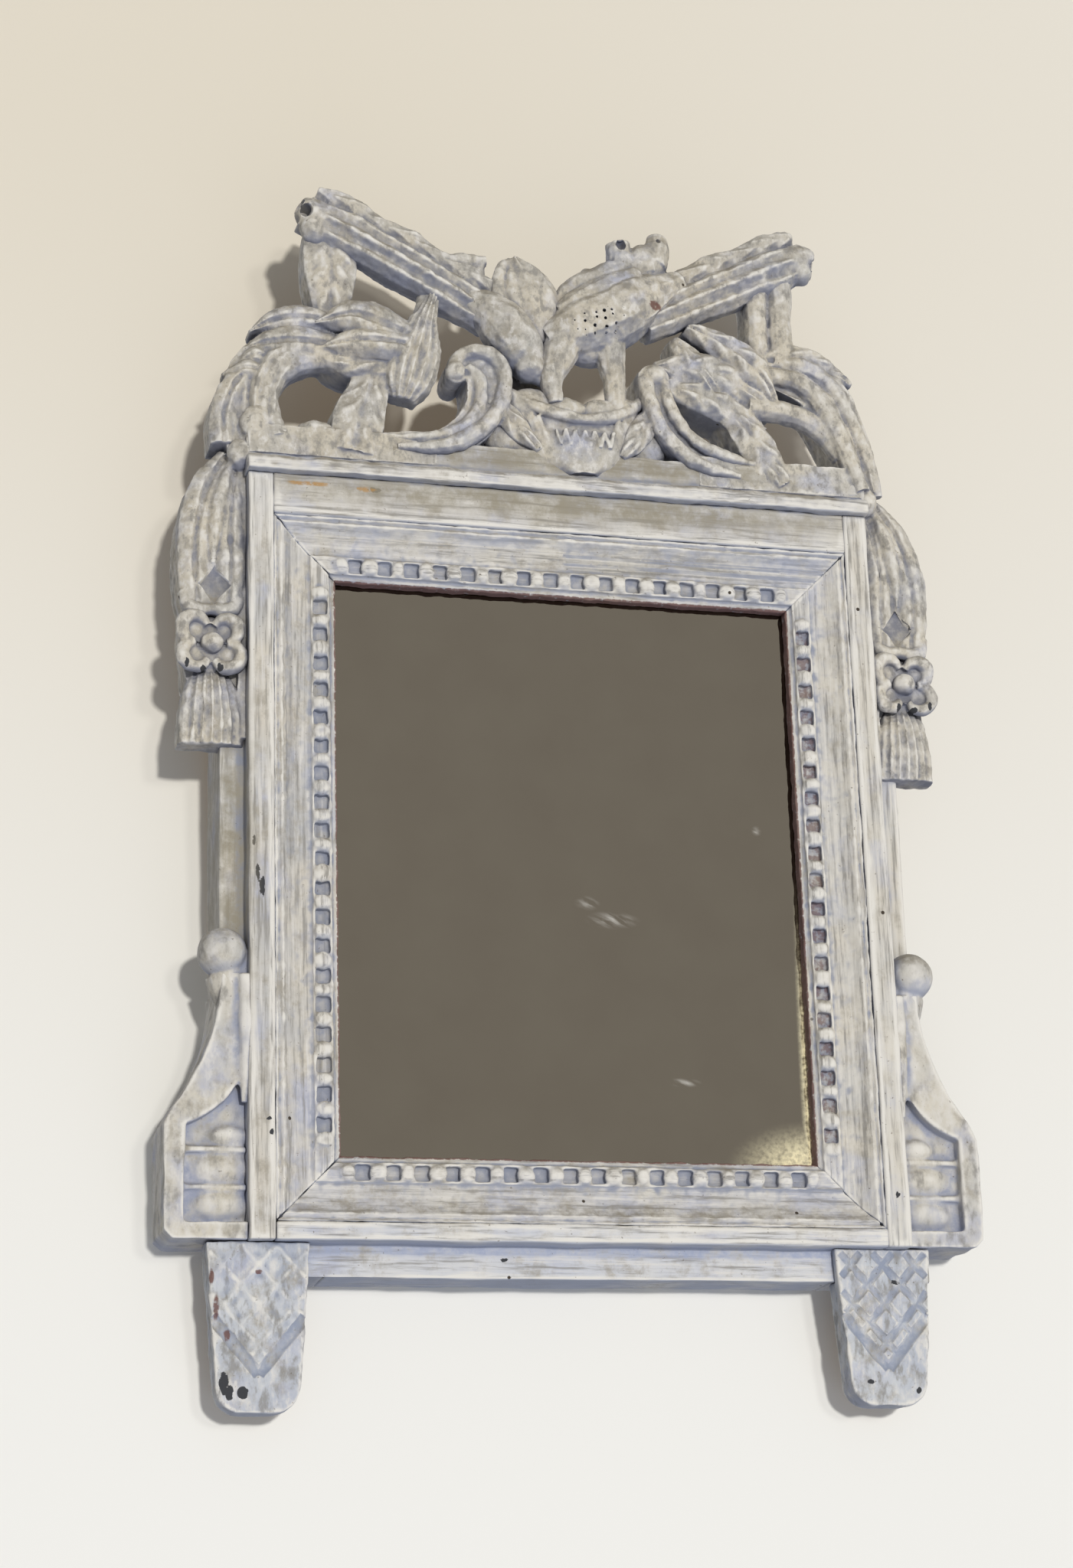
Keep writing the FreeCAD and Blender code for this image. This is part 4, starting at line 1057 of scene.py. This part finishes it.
foot_chips = {
    "left": [(-167.5, -417, 2.4, 5.5), (-165, -421, 2, 4), (-159, -421, 2.8, 3)],
    "right": [(135, -416, 2.6, 1.2), (158, -420, 1.4, 1.8), (150, -370, 2.8, 1.2)],
}
foot_bole = {
    "left": [(-173, -370, 1.2, 4), (-171, -384, 1.4, 6), (-166, -396, 1.8, 3), (-152, -368, 1.8, 1.2)],
    "right": [],
}
for word in ("left", "right"):
    middle = FOOT_X[word]
    apex = FOOT_LOW[word] + POINT_UP
    ribs = []
    for start in (apex + 12, apex + 30, apex + 48, apex + 66):
        for rise in (RIB_RISE, -RIB_RISE):
            if word == "left":
                ribs += trellis(middle, apex, rise, start, FOOT_FACE - 0.9, 1.9)
            else:
                ribs += trellis(middle, apex, rise, start, FOOT_FACE + 0.6, 2.0)
    parts = [copy_of(word + "_foot")]
    stock = parts + ribs if word == "left" else parts
    piece = melted("carved_" + word + "_foot", stock, voxel=0.8, soften=6)
    if word == "right":
        cut_by(piece, ribs)
    corner = spot(middle, FOOT_FACE + 1.4, apex)
    for lean in (-21, 21):
        arm = spot(middle + lean, FOOT_FACE + 1.4, apex + 25)
        cut_by(piece, [rope([corner, (corner + arm) / 2, arm], (3.2, 3.2, 3.2))])
    modified(piece, "SMOOTH", factor=0.5, iterations=4)
    wavering(piece, (11, 1.8), (5, 0.5))
    mark_hollows(piece, rounds=14, depth=0.8)
    mark_spots(piece, "chipped", foot_chips[word])
    mark_spots(piece, "bole", foot_bole[word])
    finished(piece, paint_feet, "painted_wood", word + "_foot")

# %% [markdown]
# ## Plate, backboard and hardware
# The plate is old silvering behind clear glass: a dark, warm mirror with a few smears, and a pale, dotted
# patch at the lower right corner and along the right edge. A metal with a low roughness gives the mirror,
# and in that patch the metal gives way to a pale, dotted ground. This CAD piece and those behind it
# already have the right form, so they only get their finishes.

# %% Old silvering
PLATE_FACE = 34.5
HAZE = 30
DOTS = 2.2
SMEAR_GRAIN = (11, 2.6)
SMEAR_LEAN = 25
SMEARS = ((8, -190, 7, 4), (20, -198, 15, 5), (52, -276, 10, 2.5), (95, -150, 3, 3))
PALE_EDGES = ((115, -318, 46, 26), (114.5, -285, 5, 130))


def soft_spots(tree, place, spots):
    """The strongest of several soft marks, each (x, z, reach across, reach up) in millimetres."""
    strongest = 0.0
    for x, z, across, up in spots:
        moved = node(tree, "ShaderNodeVectorMath", {0: place, 1: spot(x, PLATE_FACE, z)},
                     operation="SUBTRACT")
        scaled = node(tree, "ShaderNodeVectorMath", {
            0: moved.outputs[0], 1: (1 / (across * MM), 1, 1 / (up * MM))}, operation="MULTIPLY")
        away = node(tree, "ShaderNodeVectorMath", {0: scaled.outputs[0]},
                    operation="LENGTH").outputs["Value"]
        shade = node(tree, "ShaderNodeMapRange", {
            "Value": away, "From Min": 1.0, "From Max": 0.0}, interpolation_type="SMOOTHSTEP").outputs[0]
        strongest = node(tree, "ShaderNodeMath", {
            0: strongest, 1: shade}, operation="MAXIMUM", use_clamp=True).outputs[0]
    return strongest


def silvered():
    """Dark silvering with smears, and a pale, dotted patch at the lower right corner and along the right
    edge.
    """
    glass = bpy.data.materials.new("old silvered plate")
    glass.use_nodes = True
    tree = glass.node_tree
    skin = tree.nodes["Principled BSDF"]
    place = node(tree, "ShaderNodeTexCoord").outputs["Object"]
    haze = node(tree, "ShaderNodeTexNoise", {
        "Vector": place, "Scale": 1 / (HAZE * MM), "Detail": 4.0}).outputs["Fac"]
    slant = node(tree, "ShaderNodeMapping", {
        "Vector": place, "Rotation": (0, radians(SMEAR_LEAN), 0),
        "Scale": (SMEAR_GRAIN[0] * MM, 1, SMEAR_GRAIN[1] * MM)}, vector_type="TEXTURE").outputs[0]
    streaky = node(tree, "ShaderNodeTexNoise",
                   {"Vector": slant, "Scale": 1.0, "Detail": 4.0}).outputs["Fac"]
    dots = node(tree, "ShaderNodeTexNoise", {
        "Vector": place, "Scale": 1 / (DOTS * MM), "Detail": 2.0}).outputs["Fac"]

    streaks = node(tree, "ShaderNodeMapRange",
                   {"Value": streaky, "From Min": 0.42, "From Max": 0.66}).outputs[0]
    smear = node(tree, "ShaderNodeMath", {
        0: soft_spots(tree, place, SMEARS), 1: streaks}, operation="MULTIPLY", use_clamp=True).outputs[0]
    corner_patch = node(tree, "ShaderNodeMath", {
        0: soft_spots(tree, place, PALE_EDGES), 1: 1.3}, operation="MULTIPLY", use_clamp=True).outputs[0]
    dotted = node(tree, "ShaderNodeMapRange",
                  {"Value": dots, "From Min": 0.10, "From Max": 0.62}).outputs[0]
    pale = node(tree, "ShaderNodeMath", {
        0: corner_patch, 1: dotted}, operation="MULTIPLY", use_clamp=True).outputs[0]

    tone = colour("#6a6256")
    for amount, code in ((haze, "#716a5d"), (smear, "#b9b4aa"), (pale, "#fff3c8")):
        tone = node(tree, "ShaderNodeMix", {0: amount, 6: tone, 7: colour(code)},
                    data_type="RGBA").outputs[2]
    tree.links.new(tone, skin.inputs["Base Color"])
    silver = node(tree, "ShaderNodeMath", {0: 1.0, 1: pale}, operation="SUBTRACT",
                  use_clamp=True).outputs[0]
    tree.links.new(silver, skin.inputs["Metallic"])
    skin.inputs["Roughness"].default_value = 0.05
    return glass


plate_silver = silvered()
print("plate finish:", plate_silver.name)

# %% [markdown]
# ### Bare wood and iron
# The backboard and the pegs are planed pine, pale brown with grain along its length, and the hanger is
# wrought iron, dark and half dull. Two tones mixed by a stretched noise give either of them, so one
# function serves both. Year rings are drawn 3 mm wide.

# %% Finishes of the plain pieces
def plain(name, tone, other, size, metallic, rough):
    """Bare wood or iron: two tones in a stretched grain of a size in millimetres."""
    finish = bpy.data.materials.new(name)
    finish.use_nodes = True
    tree = finish.node_tree
    skin = tree.nodes["Principled BSDF"]
    place = node(tree, "ShaderNodeTexCoord").outputs["Object"]
    stretch = node(tree, "ShaderNodeMapping", {"Vector": place, "Scale": [1 / (s * MM) for s in size]})
    grain = node(tree, "ShaderNodeTexNoise", {"Vector": stretch.outputs[0], "Scale": 1.0, "Detail": 5.0})
    mix = node(tree, "ShaderNodeMix", {
        0: grain.outputs["Fac"], 6: colour(tone), 7: colour(other)}, data_type="RGBA")
    tree.links.new(mix.outputs[2], skin.inputs["Base Color"])
    skin.inputs["Metallic"].default_value = metallic
    skin.inputs["Roughness"].default_value = rough
    return finish


finishes = {
    "mirror_glass": plate_silver,
    "backboard": plain("raw pine", tone="#8a6a48", other="#6f5236", size=(3, 3, 90),
                       metallic=0.0, rough=0.75),
    "hanging_ring": plain("dull iron", tone="#3a3734", other="#57504a", size=(4, 4, 4),
                          metallic=1.0, rough=0.55),
}
for name in ("joint_pegs", "crest_dowels", "foot_dowels"):
    finishes[name] = finishes["backboard"]
for name in ("hanger_strap", "hanger_screws", "backboard_brads"):
    finishes[name] = finishes["hanging_ring"]
for name, finish in finishes.items():
    cad = frame["nodes"][name]
    cad.data.materials.clear()
    cad.data.materials.append(finish)
print("finished CAD pieces:", ", ".join(finishes))

# %% [markdown]
# ## Wall, light and camera
# The mirror hangs on a pale, limewashed wall: matt and nearly white low down, with painted shade that makes
# it darker and warmer towards the upper left.
# It is one plane that leans a little, as the mirror and the wall aren't quite parallel. It only shows
# itself to the camera and from its front, so it takes the shadow and never darkens the mirror's back.

# %% The wall
bpy.ops.object.select_all(action="DESELECT")
LEAN = 3.5
TOUCH = -355.0
bpy.ops.mesh.primitive_plane_add(size=6, location=spot(0, 8, TOUCH), rotation=(radians(90 - LEAN), 0, 0))
wall = bpy.context.object
wall.name = "wall"
limewash = bpy.data.materials.new("limewashed wall")
limewash.use_nodes = True
tree = limewash.node_tree
skin = tree.nodes["Principled BSDF"]
place = node(tree, "ShaderNodeTexCoord").outputs["Object"]
across = node(tree, "ShaderNodeSeparateXYZ", {0: place}).outputs
# Painted shade: the wall turns darker and warmer towards the top, most of all at the left.
share = node(tree, "ShaderNodeMapRange", {
    "Value": across["Y"], "From Min": -0.15, "From Max": 0.65}, interpolation_type="SMOOTHSTEP").outputs[0]
left = node(tree, "ShaderNodeMapRange", {
    "Value": across["X"], "From Min": 0.35, "From Max": -0.10, "To Min": 0.72}).outputs[0]
share = node(tree, "ShaderNodeMath", {0: share, 1: left}, operation="MULTIPLY").outputs[0]
tone = node(tree, "ShaderNodeMix", {0: share, 6: colour("#f2f2ef"), 7: colour("#e2dbcc")}, data_type="RGBA")
tree.links.new(tone.outputs[2], skin.inputs["Base Color"])
skin.inputs["Roughness"].default_value = 0.95
behind = node(tree, "ShaderNodeNewGeometry").outputs["Backfacing"]
clear = node(tree, "ShaderNodeBsdfTransparent")
shown = node(tree, "ShaderNodeMixShader", {0: behind, 1: skin.outputs[0], 2: clear.outputs[0]})
tree.links.new(shown.outputs[0], tree.nodes["Material Output"].inputs["Surface"])
wall.data.materials.append(limewash)
wall.visible_diffuse = False
wall.visible_glossy = False
wall.visible_transmission = False
wall.visible_shadow = False
print("wall at", round(wall.location.y, 4))

# %% [markdown]
# ### The light
# The key light comes from nearly in front, a little from the right and above, so that each shadow lies
# close to the left of what throws it. A second, weaker light gives the paler shadow beside it, a broad
# fill from below keeps the undersides open, and one behind lights the back in other views.

# %% Light
world = bpy.data.worlds.new("room")
bpy.context.scene.world = world
world.use_nodes = True
tree = world.node_tree
light_path = node(tree, "ShaderNodeLightPath").outputs
seen = node(tree, "ShaderNodeMath", {
    0: light_path["Is Camera Ray"], 1: light_path["Is Glossy Ray"]}, operation="MAXIMUM").outputs[0]
strength = node(tree, "ShaderNodeMapRange", {"Value": seen, "To Min": 0.27, "To Max": 1.0}).outputs[0]
room = tree.nodes["Background"]
room.inputs["Color"].default_value = colour("#fbfcff")
tree.links.new(strength, room.inputs["Strength"])


def lamp(name, aim, spread, power, tone):
    """A far lamp that shines along aim, with a spread in degrees that softens its shadows."""
    bpy.ops.object.light_add(type="SUN", location=(0, -2, 0))
    made = bpy.context.object
    made.name = name
    made.data.angle = radians(spread)
    made.data.energy = power
    made.data.color = colour(tone)[:3]
    made.rotation_euler = Vector(aim).to_track_quat("-Z", "Y").to_euler()
    made.visible_glossy = False
    return made


lamp("key", aim=(-0.08, 1.0, -0.08), spread=3.5, power=1.78, tone="#fffcf6")
lamp("second", aim=(-0.24, 1.0, -0.14), spread=6, power=0.30, tone="#fffcf6")
lamp("fill", aim=(-0.15, 0.60, 0.80), spread=60, power=0.50, tone="#eef2ff")
lamp("back", aim=(0.25, -1.0, -0.35), spread=30, power=0.9, tone="#fffcf6")

# %% [markdown]
# ### The camera
# The mirror is seen from low and to the left. The camera's place, turn and lens are set so that the
# frame's corners fall where the photograph has them.

# %% Camera
bpy.ops.object.camera_add(
    location=(-0.38598, -1.38448, -0.57251), rotation=(radians(107.443), radians(1.679), radians(-14.780)))
camera = bpy.context.object
camera.data.lens = 70.3125
camera.data.sensor_width = 36.0
bpy.context.scene.camera = camera
bpy.context.scene.view_settings.view_transform = "Standard"
print("camera", tuple(round(v, 3) for v in camera.location))
